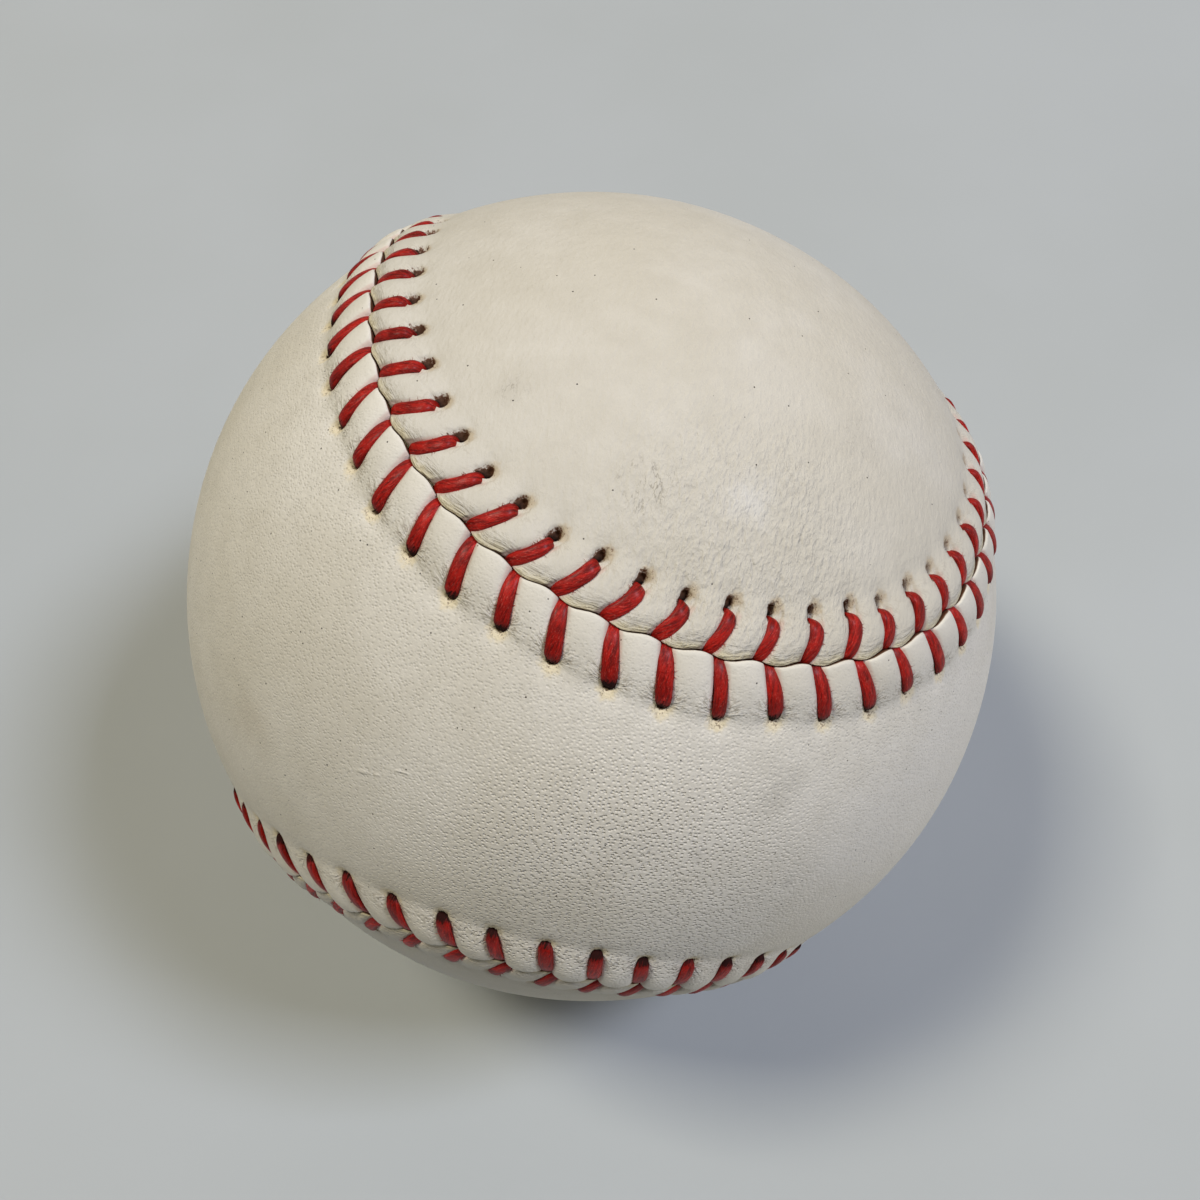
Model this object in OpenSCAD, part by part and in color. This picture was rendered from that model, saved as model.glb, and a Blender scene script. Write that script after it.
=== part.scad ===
// Baseball, built up like the real one: a cork core in rubber, four windings,
// a coat of cement, and two figure-eight leather panels sewn with red thread.
// The origin is the ball's centre and +Z is up as the ball lies at rest.

/* [Core] */
// Diameter of the cork and rubber core
core_d = 20.6; // [16:0.1:24]
// Thickness of the two black rubber half shells
shell_t = 3.2; // [2:0.05:5]
// Thickness of the gasket ring between the half shells
gasket_t = 0.8; // [0.4:0.05:2]
// Thickness of the red rubber jacket
jacket_t = 3.15; // [2:0.05:5]

/* [Windings] */
// Thickness of the first winding, four-ply grey wool
wool_first_t = 14.6; // [10:0.05:16]
// Thickness of the second winding, three-ply white wool
wool_second_t = 1.75; // [1:0.05:3]
// Thickness of the third winding, three-ply grey wool
wool_third_t = 2.25; // [1:0.05:3]
// Thickness of the finishing winding of fine cotton yarn
cotton_t = 0.5; // [0.3:0.05:1]
// Thickness of the coat of rubber cement
cement_t = 0.08; // [0.05:0.01:0.2]

/* [Cover] */
// Thickness of the leather
leather_t = 1; // [0.9:0.05:1.6]
// Gap between the edges of the two panels
seam_gap = 0.5; // [0.3:0.05:1]
// Height of the leather pillows between the stitches
pillow_h = 0.72; // [0.3:0.02:1]
// Distance of the pillows' crest from the seam
pillow_inset = 1.4; // [1:0.05:2]
// Distance from the seam at which the leather is smooth again
foot_inset = 5.6; // [5.2:0.1:8]

/* [Stitching] */
// Double stitches around the seam
stitches = 108; // [96:2:120]
// Diameter of the waxed thread
thread_d = 0.9; // [0.6:0.05:1]
// Distance of the stitch holes from the seam
hole_inset = 3.65; // [3.4:0.05:4.2]
// Length of a stitch hole, across the seam
hole_l = 1.3; // [1:0.05:1.6]
// How far the upper panel's holes lie ahead of the stitch's place
lead_upper = 0.8; // [0:0.05:1.8]
// How far the lower panel's holes lie ahead of the stitch's place
lead_lower = 1.6; // [0:0.05:1.8]
// Distance along the seam between the roots of a stitch's two legs
root_split = 0.9; // [0:0.05:1.4]
// Height of a leg's middle above the leather's smooth surface
leg_rise = 0.4; // [0.3:0.02:0.6]
// Depth of a leg's two ends below its middle
leg_drop = 0.38; // [0.3:0.02:0.6]
// Place of the first stitch, round from the seam's zero point
first_stitch_deg = 4.4; // [0:0.1:5.7]

/* [Seam curve] */
// Share of the third harmonic, which narrows the panels' waists
seam_third_share = 0.393; // [0.34:0.001:0.42]
// Share of the fifth harmonic, which squares up the lobes
seam_fifth_share = -0.06; // [-0.08:0.005:0]
// Share of the seam's swing towards the two poles
seam_swing_share = 1.489; // [1.3:0.001:1.6]

/* [Attitude] */
// Roll of the seam about X as the ball lies
seam_roll = -122.6; // [-180:0.1:180]
// Tilt of the seam about Y as the ball lies
seam_tilt = -20.9; // [-180:0.1:180]
// Turn of the seam about Z as the ball lies
seam_turn = 18.1; // [-180:0.1:180]

/* [Hidden] */

// Gap that keeps one layer clear of the next
layer_gap = 0.02;
// Gap under the leather, which its flat facets need
seat_gap = 0.15;
// Gap between the thread and the leather
thread_gap = 0.06;

// Outer radii of the layers, from the core outwards
core_r = core_d / 2;
shell_r = core_r + layer_gap + shell_t;
jacket_r = shell_r + layer_gap + jacket_t;
wool_first_r = jacket_r + layer_gap + wool_first_t;
wool_second_r = wool_first_r + layer_gap + wool_second_t;
wool_third_r = wool_second_r + layer_gap + wool_third_t;
cotton_r = wool_third_r + layer_gap + cotton_t;
cement_r = cotton_r + layer_gap + cement_t;
lining_r = cement_r + seat_gap;
ball_r = lining_r + leather_t;

// Sides of the seam that the two panels lie on
UPPER = 1;
LOWER = -1;

// The seam curve, in steps fine enough to measure its arc
seam_steps = 720;
step_deg = 360 / seam_steps;

function unit(v) = v / norm(v);
function arc_between(a, b) = 2 * asin(norm(a - b) / 2);

// Direction of the seam at the angle t, before its arc is measured
function seam_dir(t) = unit([
    cos(t) + seam_third_share * cos(3 * t) + seam_fifth_share * cos(5 * t),
    sin(t) - seam_third_share * sin(3 * t) + seam_fifth_share * sin(5 * t),
    seam_swing_share * sin(2 * t)
]);

// Pairs of measured arc, in degrees of the sphere, and angle t
arc_table = [
    for (i = 0, s = 0; i <= seam_steps;
        s = s + arc_between(seam_dir(i * step_deg), seam_dir((i + 1) * step_deg)), i = i + 1)
    [s, i * step_deg]
];
turned_table = [for (pair = arc_table) [pair[1], pair[0]]];
seam_arc = arc_table[seam_steps][0];
pitch_arc = seam_arc / stitches;

function wrapped(a) = a - seam_arc * floor(a / seam_arc);
function seam_at(a) = seam_dir(lookup(wrapped(a), arc_table));

// Degrees of arc that a length covers on the leather
function as_arc(length) = length / ball_r * 180 / PI;

// Direction at an arc along the seam and a distance from it, on one side
function beside_seam(a, side, inset) =
    let (p = seam_at(a),
         along = unit(seam_at(a + pitch_arc / 8) - seam_at(a - pitch_arc / 8)),
         across = unit(cross(p, along)),
         off = as_arc(inset))
    cos(off) * p + side * sin(off) * across;

function lead(side) = side == UPPER ? lead_upper : lead_lower;
function stitch_arc(k) = first_stitch_deg + k * pitch_arc;

// How far a leg has moved along the seam, from its root to a distance from the seam
function lean(side, inset) =
    let (root = -side * root_split / 2)
    as_arc(root + (lead(side) - root) * min(1, inset / hole_inset));

// A leg of thread: heights of its centre line at the hole, the middle and the root
hole_w = thread_d + 4 * thread_gap;
leg_mid_inset = (hole_inset + seam_gap) / 2;
leg_root_inset = seam_gap + thread_gap;
leg_end_h = leg_rise - leg_drop;
bed_h = leg_rise - thread_d / 2 - thread_gap;

// Rows of the leather's outer face, as [inset, height in the stitch's bed, height of the pillow]
hole_near = hole_inset - hole_l / 2;
hole_far = hole_inset + hole_l / 2;
outer_rows = [
    [seam_gap / 2, bed_h - leg_drop, 0],
    [pillow_inset, bed_h - leg_drop / 4, pillow_h],
    [hole_near, bed_h - leg_drop * 2 / 3, pillow_h / 3],
    [hole_far, 0, 0],
    [foot_inset, 0, 0]
];
// Rows of the lining face: the edge, both ends of the holes
lining_rows = [seam_gap / 2, hole_near, hole_far];

// Three columns a stitch: both sides of its bed, then the pillow's middle
columns = 3 * stitches;
function column_arc(j, side, inset) =
    let (k = floor(j / 3),
         part = j % 3,
         half = as_arc(hole_w / 2))
    stitch_arc(k) + lean(side, inset) + (part == 0 ? -half : part == 1 ? half : pitch_arc / 2);

function outer_point(j, side, row) =
    let (h = j % 3 == 2 ? row[2] : row[1])
    (ball_r + h) * beside_seam(column_arc(j, side, row[0]), side, row[0]);

function lining_point(j, side, inset) =
    lining_r * beside_seam(column_arc(j, side, inset), side, inset);

// The panel inside its rows: one point a stitch, joined across to its mirror point
inner_inset = foot_inset + pitch_arc * PI / 180 * ball_r * 3 / 4;
chord_cells = 8;
chords = stitches / 2;
// The seam's angles t at the far tip of each panel
upper_tip_t = 135;
lower_tip_t = 45;

// The stitch just before the tip of a panel, where its chords begin and end
function tip_stitch(side) =
    let (tip = lookup(side == UPPER ? upper_tip_t : lower_tip_t, turned_table))
    floor((tip - stitch_arc(0) - as_arc(lead(side))) / pitch_arc);

function inner_dir(k, side) =
    beside_seam(stitch_arc(k) + lean(side, inner_inset), side, inner_inset);

function chord_dir(i, c, side) =
    let (tip = tip_stitch(side),
         from = inner_dir(tip + 1 + i, side),
         to = inner_dir(tip - i, side),
         share = c / chord_cells)
    unit(from * (1 - share) + to * share);

// The two triangles of a four-sided face
function halved(a, b, c, d) = [[a, b, c], [a, c, d]];
// A fan of triangles from one point to a run of others
function fan(hub, run) = [for (i = [0:len(run) - 2]) [hub, run[i], run[i + 1]]];
function flipped(tris) = [for (t = tris) [t[2], t[1], t[0]]];

// Numbers of the points: rows first, then the grid of chords, outer face before lining face
outer_row_count = len(outer_rows);
lining_row_count = len(lining_rows);
grid_row = chord_cells + 1;
lining_start = outer_row_count * columns;
outer_grid_start = lining_start + lining_row_count * columns;
lining_grid_start = outer_grid_start + chords * grid_row;
function outer_no(row, j) = row * columns + (j + columns) % columns;
function lining_no(row, j) = lining_start + outer_no(row, j);

// The grid's rim point at stitch k, on whichever end of a chord it lies
function rim_no(k, tip, start) =
    let (i = (k - tip - 1 + 2 * stitches) % stitches)
    i < chords ? start + i * grid_row : start + (stitches - 1 - i) * grid_row + chord_cells;
// The grid's rim from stitch k to the next, along the whole chord at the two tips
function rim_run(k, tip, start) =
    let (i = (k - tip - 1 + 2 * stitches) % stitches)
    i == stitches - 1 ? [for (c = [chord_cells:-1:0]) start + c]
    : i == chords - 1 ? [for (c = [0:chord_cells]) start + i * grid_row + c]
    : [rim_no(k, tip, start), rim_no(k + 1, tip, start)];

// The row before the holes, on each face, and whether a cell of it is a hole
hole_row = 2;
lining_hole_row = 1;
function is_hole(row, j, before) = row == before && j % 3 == 0;

function panel_points(side) = concat(
    [for (row = outer_rows) for (j = [0:columns - 1]) outer_point(j, side, row)],
    [for (inset = lining_rows) for (j = [0:columns - 1]) lining_point(j, side, inset)],
    [for (i = [0:chords - 1]) for (c = [0:chord_cells]) ball_r * chord_dir(i, c, side)],
    [for (i = [0:chords - 1]) for (c = [0:chord_cells]) lining_r * chord_dir(i, c, side)]
);

// Both faces between the seam and the smooth leather, and the panel's cut edge
band_faces = [
    for (row = [0:outer_row_count - 2]) for (j = [0:columns - 1])
        if (!is_hole(row, j, hole_row))
            each halved(outer_no(row, j), outer_no(row, j + 1),
                outer_no(row + 1, j + 1), outer_no(row + 1, j)),
    for (row = [0:lining_row_count - 2]) for (j = [0:columns - 1])
        if (!is_hole(row, j, lining_hole_row))
            each halved(lining_no(row, j), lining_no(row + 1, j),
                lining_no(row + 1, j + 1), lining_no(row, j + 1)),
    for (j = [0:columns - 1])
        each halved(outer_no(0, j), lining_no(0, j), lining_no(0, j + 1), outer_no(0, j + 1))
];

// Walls of the stitch holes, through the leather
hole_faces = [
    for (k = [0:stitches - 1])
        let (j = 3 * k,
             near = hole_row,
             deep = lining_hole_row,
             mouth = [outer_no(near, j), outer_no(near, j + 1),
                 outer_no(near + 1, j + 1), outer_no(near + 1, j)],
             foot = [lining_no(deep, j), lining_no(deep, j + 1),
                 lining_no(deep + 1, j + 1), lining_no(deep + 1, j)])
        for (i = [0:3])
            each halved(mouth[i], mouth[(i + 1) % 4], foot[(i + 1) % 4], foot[i])
];

// From three columns a stitch to the grid's one
function joining_faces(tip) = [
    for (k = [0:stitches - 1])
        let (j = 3 * k,
             row = outer_row_count - 1,
             deep = lining_row_count - 1,
             outer_run = rim_run(k, tip, outer_grid_start),
             lining_run = rim_run(k, tip, lining_grid_start),
             next = len(outer_run) - 1)
        each concat(
            flipped(fan(outer_run[0], [outer_no(row, j + 2), outer_no(row, j + 1), outer_no(row, j)])),
            flipped(fan(outer_no(row, j + 2), outer_run)),
            [[outer_no(row, j + 2), outer_no(row, j + 3), outer_run[next]]],
            fan(lining_run[0], [lining_no(deep, j + 2), lining_no(deep, j + 1), lining_no(deep, j)]),
            fan(lining_no(deep, j + 2), lining_run),
            [[lining_no(deep, j + 3), lining_no(deep, j + 2), lining_run[next]]])
];

// The grid of chords across the panel
grid_faces = [
    for (i = [0:chords - 2]) for (c = [0:chord_cells - 1])
        let (a = i * grid_row + c,
             b = a + grid_row)
        each concat(
            halved(outer_grid_start + a, outer_grid_start + b,
                outer_grid_start + b + 1, outer_grid_start + a + 1),
            halved(lining_grid_start + a, lining_grid_start + a + 1,
                lining_grid_start + b + 1, lining_grid_start + b))
];

// The ball's attitude at rest
module as_it_lies() {
    rotate([seam_roll, seam_tilt, seam_turn]) children();
}

// A layer between two radii
module layer(outer_r, thickness) {
    difference() {
        sphere(outer_r);
        sphere(outer_r - thickness);
    }
}

// Half of the black shell, above the gasket
module half_shell() {
    difference() {
        layer(shell_r, shell_t);
        translate([0, 0, gasket_t / 2 + layer_gap - shell_r])
            cube(2 * shell_r, center = true);
    }
}

module panel(side) {
    faces = concat(band_faces, hole_faces, joining_faces(tip_stitch(side)), grid_faces);
    polyhedron(points = panel_points(side), faces = side == UPPER ? flipped(faces) : faces);
}

// A round thread bent in one arc through three points
module arc_thread(from, middle, to) {
    a = from - middle;
    b = to - middle;
    n = cross(b, a);
    centre = middle + cross(n, b * (a * a) - a * (b * b)) / (2 * n * n);
    bend_r = norm(from - centre);
    x = (from - centre) / bend_r;
    z = unit(n);
    y = cross(z, x);
    turn = 2 * asin(norm(to - from) / 2 / bend_r);
    multmatrix([
        [x[0], y[0], z[0], centre[0]],
        [x[1], y[1], z[1], centre[1]],
        [x[2], y[2], z[2], centre[2]]
    ])
        rotate_extrude(angle = turn, $fn = 96)
            translate([bend_r, 0])
                circle(d = thread_d, $fn = 16);
}

// A point of a leg's centre line, which leans with its holes
function leg_point(k, side, inset, height) =
    (ball_r + height) * beside_seam(stitch_arc(k) + lean(side, inset), side, inset);

module leg(k, side) {
    arc_thread(
        leg_point(k, side, hole_inset, leg_end_h),
        leg_point(k, side, leg_mid_inset, leg_rise),
        leg_point(k, side, leg_root_inset, leg_end_h));
}

module cork_core() {
    color("#b98a5a") sphere(core_r);
}

module black_shell_upper() {
    color("#26262a") half_shell();
}

module black_shell_lower() {
    color("#303034") mirror([0, 0, 1]) half_shell();
}

module shell_gasket() {
    color("#a83a30")
        intersection() {
            layer(shell_r, shell_t);
            cube([2 * ball_r, 2 * ball_r, gasket_t], center = true);
        }
}

module red_rubber_jacket() {
    color("#b5443a") layer(jacket_r, jacket_t);
}

module wool_winding_first() {
    color("#9a9a98") layer(wool_first_r, wool_first_t);
}

module wool_winding_second() {
    color("#e6e2d8") layer(wool_second_r, wool_second_t);
}

module wool_winding_third() {
    color("#a8a8a4") layer(wool_third_r, wool_third_t);
}

module cotton_winding() {
    color("#efeadc") layer(cotton_r, cotton_t);
}

module cement_coat() {
    color("#d8c9a0") layer(cement_r, cement_t);
}

module cover_panel_upper() {
    color("#e9e2d2") as_it_lies() panel(UPPER);
}

module cover_panel_lower() {
    color("#ece6d8") as_it_lies() panel(LOWER);
}

module red_thread() {
    color("#b02a30")
        as_it_lies()
            for (k = [0:stitches - 1]) {
                leg(k, UPPER);
                leg(k, LOWER);
            }
}

cork_core();
black_shell_upper();
black_shell_lower();
shell_gasket();
red_rubber_jacket();
wool_winding_first();
wool_winding_second();
wool_winding_third();
cotton_winding();
cement_coat();
cover_panel_upper();
cover_panel_lower();
red_thread();
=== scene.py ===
"""The looks of a baseball: two sewn panels of pale leather, the red thread and the wound layers inside."""

import logging
import math
from dataclasses import dataclass, field, replace
from enum import Enum
from typing import Any, Iterable, Sequence

import bpy
import numpy as np
from mathutils import Matrix, Vector


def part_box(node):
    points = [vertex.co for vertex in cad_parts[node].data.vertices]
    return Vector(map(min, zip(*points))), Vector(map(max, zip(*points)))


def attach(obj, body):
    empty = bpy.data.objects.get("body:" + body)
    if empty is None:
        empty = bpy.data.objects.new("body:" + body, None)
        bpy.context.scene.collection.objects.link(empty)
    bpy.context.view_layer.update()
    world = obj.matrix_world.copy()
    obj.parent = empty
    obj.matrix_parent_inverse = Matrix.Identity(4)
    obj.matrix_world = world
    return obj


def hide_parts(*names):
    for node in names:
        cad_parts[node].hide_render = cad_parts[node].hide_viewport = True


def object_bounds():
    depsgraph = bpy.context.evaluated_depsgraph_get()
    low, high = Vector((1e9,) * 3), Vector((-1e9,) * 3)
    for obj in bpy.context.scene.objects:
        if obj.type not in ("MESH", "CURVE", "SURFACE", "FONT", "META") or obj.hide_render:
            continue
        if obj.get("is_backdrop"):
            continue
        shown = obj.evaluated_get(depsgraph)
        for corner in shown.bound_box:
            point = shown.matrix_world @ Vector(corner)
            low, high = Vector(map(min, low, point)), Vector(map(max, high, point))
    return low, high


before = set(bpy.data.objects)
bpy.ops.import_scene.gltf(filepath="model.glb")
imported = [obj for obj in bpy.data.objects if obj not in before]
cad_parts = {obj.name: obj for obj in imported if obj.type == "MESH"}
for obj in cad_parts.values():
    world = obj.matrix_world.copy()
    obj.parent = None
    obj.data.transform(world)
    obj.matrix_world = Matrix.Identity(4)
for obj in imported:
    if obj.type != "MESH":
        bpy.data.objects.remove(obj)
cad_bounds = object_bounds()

LOG = logging.getLogger("baseball")
# Metres in a millimetre: the pieces are worked out in millimetres, as the part is
MM = 0.001

Colour = tuple[int, int, int]
# The two ends of a ramp or a range: for a mask, where it is 0 and where it is 1
Span = tuple[float, float]


def smooth_step(low: float, high: float, value: np.ndarray) -> np.ndarray:
    """A share for each number, which rises smoothly from 0 at low to 1 at high."""
    share = np.clip((value - low) / (high - low), 0, 1)
    return share * share * (3 - 2 * share)


def unit(vectors: np.ndarray) -> np.ndarray:
    """The vectors, each scaled to length one."""
    return vectors / np.linalg.norm(vectors, axis=-1, keepdims=True)


def curve_through(controls: np.ndarray, count: int) -> np.ndarray:
    """A smooth curve that passes through a list of points.

    Args:
        controls: The points, one in each row.
        count: How many points the curve gets.

    Returns:
        The curve's points, one in each row.
    """
    ends = np.vstack([2 * controls[0] - controls[1], controls, 2 * controls[-1] - controls[-2]])
    spans = len(controls) - 1
    at = np.linspace(0, spans, count)
    span = np.minimum(at.astype(int), spans - 1)
    t = (at - span)[:, None]
    before, start, end, after = (ends[span + i] for i in range(4))
    bend = 2 * before - 5 * start + 4 * end - after
    twist = -before + 3 * start - 3 * end + after
    return start + t / 2 * (end - before + t * (bend + t * twist))


def linear(colour: Colour) -> tuple[float, float, float, float]:
    """A colour as it shows on a screen, 0 to 255, turned into the renderer's linear RGBA."""
    shares = [c / 255 for c in colour]
    return (*(s / 12.92 if s <= 0.04045 else ((s + 0.055) / 1.055) ** 2.4 for s in shares), 1.0)


class Side(Enum):
    """The two sides of the seam, with the sign of the way across it."""

    UPPER = 1
    LOWER = -1


@dataclass(frozen=True)
class Attitude:
    """How the ball lies at rest, in degrees about X, then Y, then Z."""

    roll: float = -122.6
    tilt: float = -20.9
    turn: float = 18.1

    def matrix(self) -> np.ndarray:
        """The turn from the seam's own axes to the frame's.

        Returns:
            A matrix of 3 by 3.
        """
        turn, tilt, roll = (
            np.array(Matrix.Rotation(math.radians(angle), 3, axis))
            for angle, axis in ((self.turn, "Z"), (self.tilt, "Y"), (self.roll, "X"))
        )
        return turn @ tilt @ roll


@dataclass
class Seam:
    """The closed seam curve on the ball, measured in stitches along it and millimetres beside it."""

    radius: float
    attitude: Attitude = field(default_factory=Attitude)
    third_share: float = 0.393
    fifth_share: float = -0.06
    swing_share: float = 1.489
    stitches: int = 108
    first_stitch_deg: float = 4.4
    steps: int = 14400

    def __post_init__(self) -> None:
        """Measures the curve once, so that places on it can be looked up."""
        self._turns = np.linspace(0, 2 * np.pi, self.steps + 1)
        points = self._direction(self._turns)
        arcs = 2 * np.arcsin(np.linalg.norm(np.diff(points, axis=0), axis=1) / 2)
        self._arcs = np.concatenate([[0.0], np.cumsum(arcs)])
        self.pitch = self._arcs[-1] / self.stitches * self.radius
        self._first = math.radians(self.first_stitch_deg) * self.radius / self.pitch

    def _direction(self, turn: np.ndarray) -> np.ndarray:
        """Directions of the seam.

        Args:
            turn: The seam's own angle, in radians.

        Returns:
            Unit vectors in the frame's axes.
        """
        own = np.stack(
            [
                np.cos(turn) + self.third_share * np.cos(3 * turn) + self.fifth_share * np.cos(5 * turn),
                np.sin(turn) - self.third_share * np.sin(3 * turn) + self.fifth_share * np.sin(5 * turn),
                self.swing_share * np.sin(2 * turn),
            ],
            axis=-1,
        )
        return unit(own) @ self.attitude.matrix().T

    def at(self, stitch: np.ndarray) -> np.ndarray:
        """Directions of the seam at places counted in stitches from the first one."""
        arc = (stitch + self._first) / self.stitches % 1 * self._arcs[-1]
        return self._direction(np.interp(arc, self._arcs, self._turns))

    def stitch_of_turn(self, turn_deg: float) -> float:
        """The place, counted in stitches, where the seam's own angle is the given one."""
        arc = np.interp(math.radians(turn_deg), self._turns, self._arcs)
        return float(arc / self._arcs[-1] * self.stitches - self._first)

    def beside(self, stitch: np.ndarray, across: np.ndarray) -> np.ndarray:
        """Directions at a distance from the seam.

        Args:
            stitch: Places along the seam, in stitches.
            across: Distances from the seam in millimetres, positive on the upper side.

        Returns:
            Unit vectors in the frame's axes.
        """
        step = 1 / 8
        on_seam = self.at(stitch)
        along = unit(self.at(stitch + step) - self.at(stitch - step))
        sideways = unit(np.cross(on_seam, along))
        angle = (np.asarray(across) / self.radius)[..., None]
        return np.cos(angle) * on_seam + np.sin(angle) * sideways


@dataclass
class StitchPlan:
    """Where the stitches lie beside the seam, in millimetres, with the small unevenness of hand sewing."""

    seam: Seam
    hole_inset: float = 3.65
    lead_upper: float = 1.0
    lead_lower: float = 1.6
    lead_swing: float = 0.9
    lead_waves: int = 5
    lead_crest: float = 89.0
    root_split: float = 0.9
    edge_gap: float = 0.02
    groove_shift: float = 0.19
    groove_swing: float = 0.17
    groove_reach: float = 2.4
    along_slack: float = 0.12
    across_slack: float = 0.22
    slack_rise: Span = (0.6, 3.2)
    slack_fall: Span = (4.4, 6.2)
    seed: int = 11

    def __post_init__(self) -> None:
        """Draws each stitch's own slack, along and across the seam, on both sides."""
        draw = np.random.default_rng(self.seed)
        count = self.seam.stitches
        self._slack = {
            side: draw.uniform(-1, 1, (2, count)) * [[self.along_slack], [self.across_slack]]
            for side in Side
        }

    def _eased(self, values: np.ndarray, stitch: np.ndarray) -> np.ndarray:
        """Values given at whole stitches, eased from each to the next.

        Args:
            values: One value for each stitch.
            stitch: Places along the seam, in stitches.

        Returns:
            The value at each place.
        """
        before = np.floor(stitch).astype(int)
        share = smooth_step(0, 1, stitch - before)
        count = self.seam.stitches
        return values[before % count] * (1 - share) + values[(before + 1) % count] * share

    def lead(self, side: Side, stitch: np.ndarray) -> np.ndarray:
        """How far a leg's hole lies ahead of its stitch, which on the upper side swings round the seam.

        Args:
            side: The panel's side of the seam.
            stitch: Places along the seam, in stitches.

        Returns:
            Distances along the seam in millimetres.
        """
        if side is Side.LOWER:
            return np.full_like(stitch, self.lead_lower)
        turn = 2 * np.pi * self.lead_waves / self.seam.stitches
        return self.lead_upper + self.lead_swing * np.cos(turn * (stitch - self.lead_crest))

    def lean(self, side: Side, stitch: np.ndarray, inset: np.ndarray) -> np.ndarray:
        """How far a leg has moved along the seam by its distance from it.

        Args:
            side: The panel's side of the seam.
            stitch: Places along the seam, in stitches.
            inset: Distances from the panel's edge, in millimetres.

        Returns:
            Distances along the seam in millimetres.
        """
        lead = self.lead(side, stitch)
        root = -side.value * self.root_split / 2
        return root + (lead - root) * np.minimum(1, inset / self.hole_inset)

    def place(self, side: Side, stitch: np.ndarray, inset: np.ndarray) -> np.ndarray:
        """Directions of places on a panel, given in the stitches' own slanting grid.

        Args:
            side: The panel's side of the seam.
            stitch: Places along the seam, whole where a leg lies.
            inset: Distances from the panel's edge, in millimetres.

        Returns:
            Unit vectors in the frame's axes.
        """
        stitch, inset = np.broadcast_arrays(np.asarray(stitch, float), np.asarray(inset, float))
        along, across = self._slack[side]
        held = smooth_step(*self.slack_rise, inset) * (1 - smooth_step(*self.slack_fall, inset))
        ahead = self.lean(side, stitch, inset) + self._eased(along, stitch) * held
        true_stitch = stitch + ahead / self.seam.pitch
        wave = self.groove_shift - self.groove_swing * np.sin(2 * np.pi * true_stitch)
        shift = side.value * wave * (1 - smooth_step(0, self.groove_reach, inset))
        off = inset + self.edge_gap + shift + self._eased(across, stitch) * held
        return self.seam.beside(true_stitch, side.value * off)


@dataclass(frozen=True)
class Relief:
    """Heights of one panel's leather above the smooth ball, in millimetres."""

    pillow: float
    pillow_near: float
    crest_start: float
    crest_end: float
    foot: float
    rim: float
    crown_power: float
    hole_at: tuple[float, float]
    hole_half: tuple[float, float]
    bed: float = -0.06
    bed_half: float = 0.37
    crown_ease: float = 0.38
    hole_depth: float = 0.85
    dimple: float = 0.2
    dimple_r: float = 1.0
    pit_wall: Span = (0.6, 1.1)
    still_inset: float = 6.4
    puff_spread: float = 0.14
    puff_seed: int = 31

    def height(self, stitch: np.ndarray, inset: np.ndarray, pitch: float, stitches: int) -> np.ndarray:
        """Height of the leather in the stitches' own grid.

        Args:
            stitch: Places along the seam, in stitches, whole where a leg lies.
            inset: Distances from the panel's edge.
            pitch: The distance between two stitches.
            stitches: How many stitches the seam has.

        Returns:
            Heights in millimetres.
        """
        beside = (stitch - np.round(stitch)) * pitch
        puffs = 1 + np.random.default_rng(self.puff_seed).uniform(-1, 1, stitches) * self.puff_spread
        puff = puffs[np.floor(stitch).astype(int) % stitches]
        share = np.clip((np.abs(beside) - self.bed_half) / (pitch / 2 - self.bed_half), 0, 1)
        crown = (1 - (1 - share) ** self.crown_power) ** self.crown_ease
        rise = self.pillow_near + (self.pillow - self.pillow_near) * smooth_step(0, self.crest_start, inset)
        pillow = rise * puff * (1 - smooth_step(self.crest_end, self.foot, inset))
        bed = self.bed * (1 - smooth_step(self.hole_at[0], self.foot, inset))
        level = bed + (pillow - bed) * crown
        left = self.rim - np.minimum(inset, self.rim)
        roll = np.sqrt(self.rim**2 - left**2) - self.rim
        off = np.hypot(
            (inset - self.hole_at[0]) / self.hole_half[0],
            (beside - self.hole_at[1]) / self.hole_half[1],
        )
        pit = -self.hole_depth * (1 - smooth_step(*self.pit_wall, off))
        dimple = -self.dimple * np.exp(-((off * self.hole_half[1] / self.dimple_r) ** 2))
        dimple = dimple * (1 - smooth_step(self.foot, self.still_inset, inset))
        return level + roll + np.minimum(pit, dimple * (1 - smooth_step(0, 1, -pit)))


@dataclass
class MeshParts:
    """Points and faces gathered for one mesh, with the numbers that each face corner holds."""

    points: list[np.ndarray] = field(default_factory=list)
    faces: list[np.ndarray] = field(default_factory=list)
    corners: list[np.ndarray] = field(default_factory=list)
    count: int = 0

    def add_points(self, points: np.ndarray) -> np.ndarray:
        """Adds points.

        Args:
            points: The points, in any layout with a last axis of three.

        Returns:
            Their numbers in the same layout.
        """
        numbers = self.count + np.arange(points[..., 0].size).reshape(points.shape[:-1])
        self.points.append(points.reshape(-1, 3))
        self.count += numbers.size
        return numbers

    def add_faces(self, faces: np.ndarray, corners: np.ndarray) -> None:
        """Adds faces of equal corner count, with the numbers of each corner."""
        self.faces.append(faces)
        self.corners.append(corners)


# The corners of the three triangles that join two cells of a fine row to one of a coarse row:
# the row, 0 for the fine one and 1 for the coarse one, and the step along it
HALVING = (((0, 0), (0, 1), (1, 0)), ((0, 1), (0, 2), (1, 1)), ((0, 1), (1, 1), (1, 0)))


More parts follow.
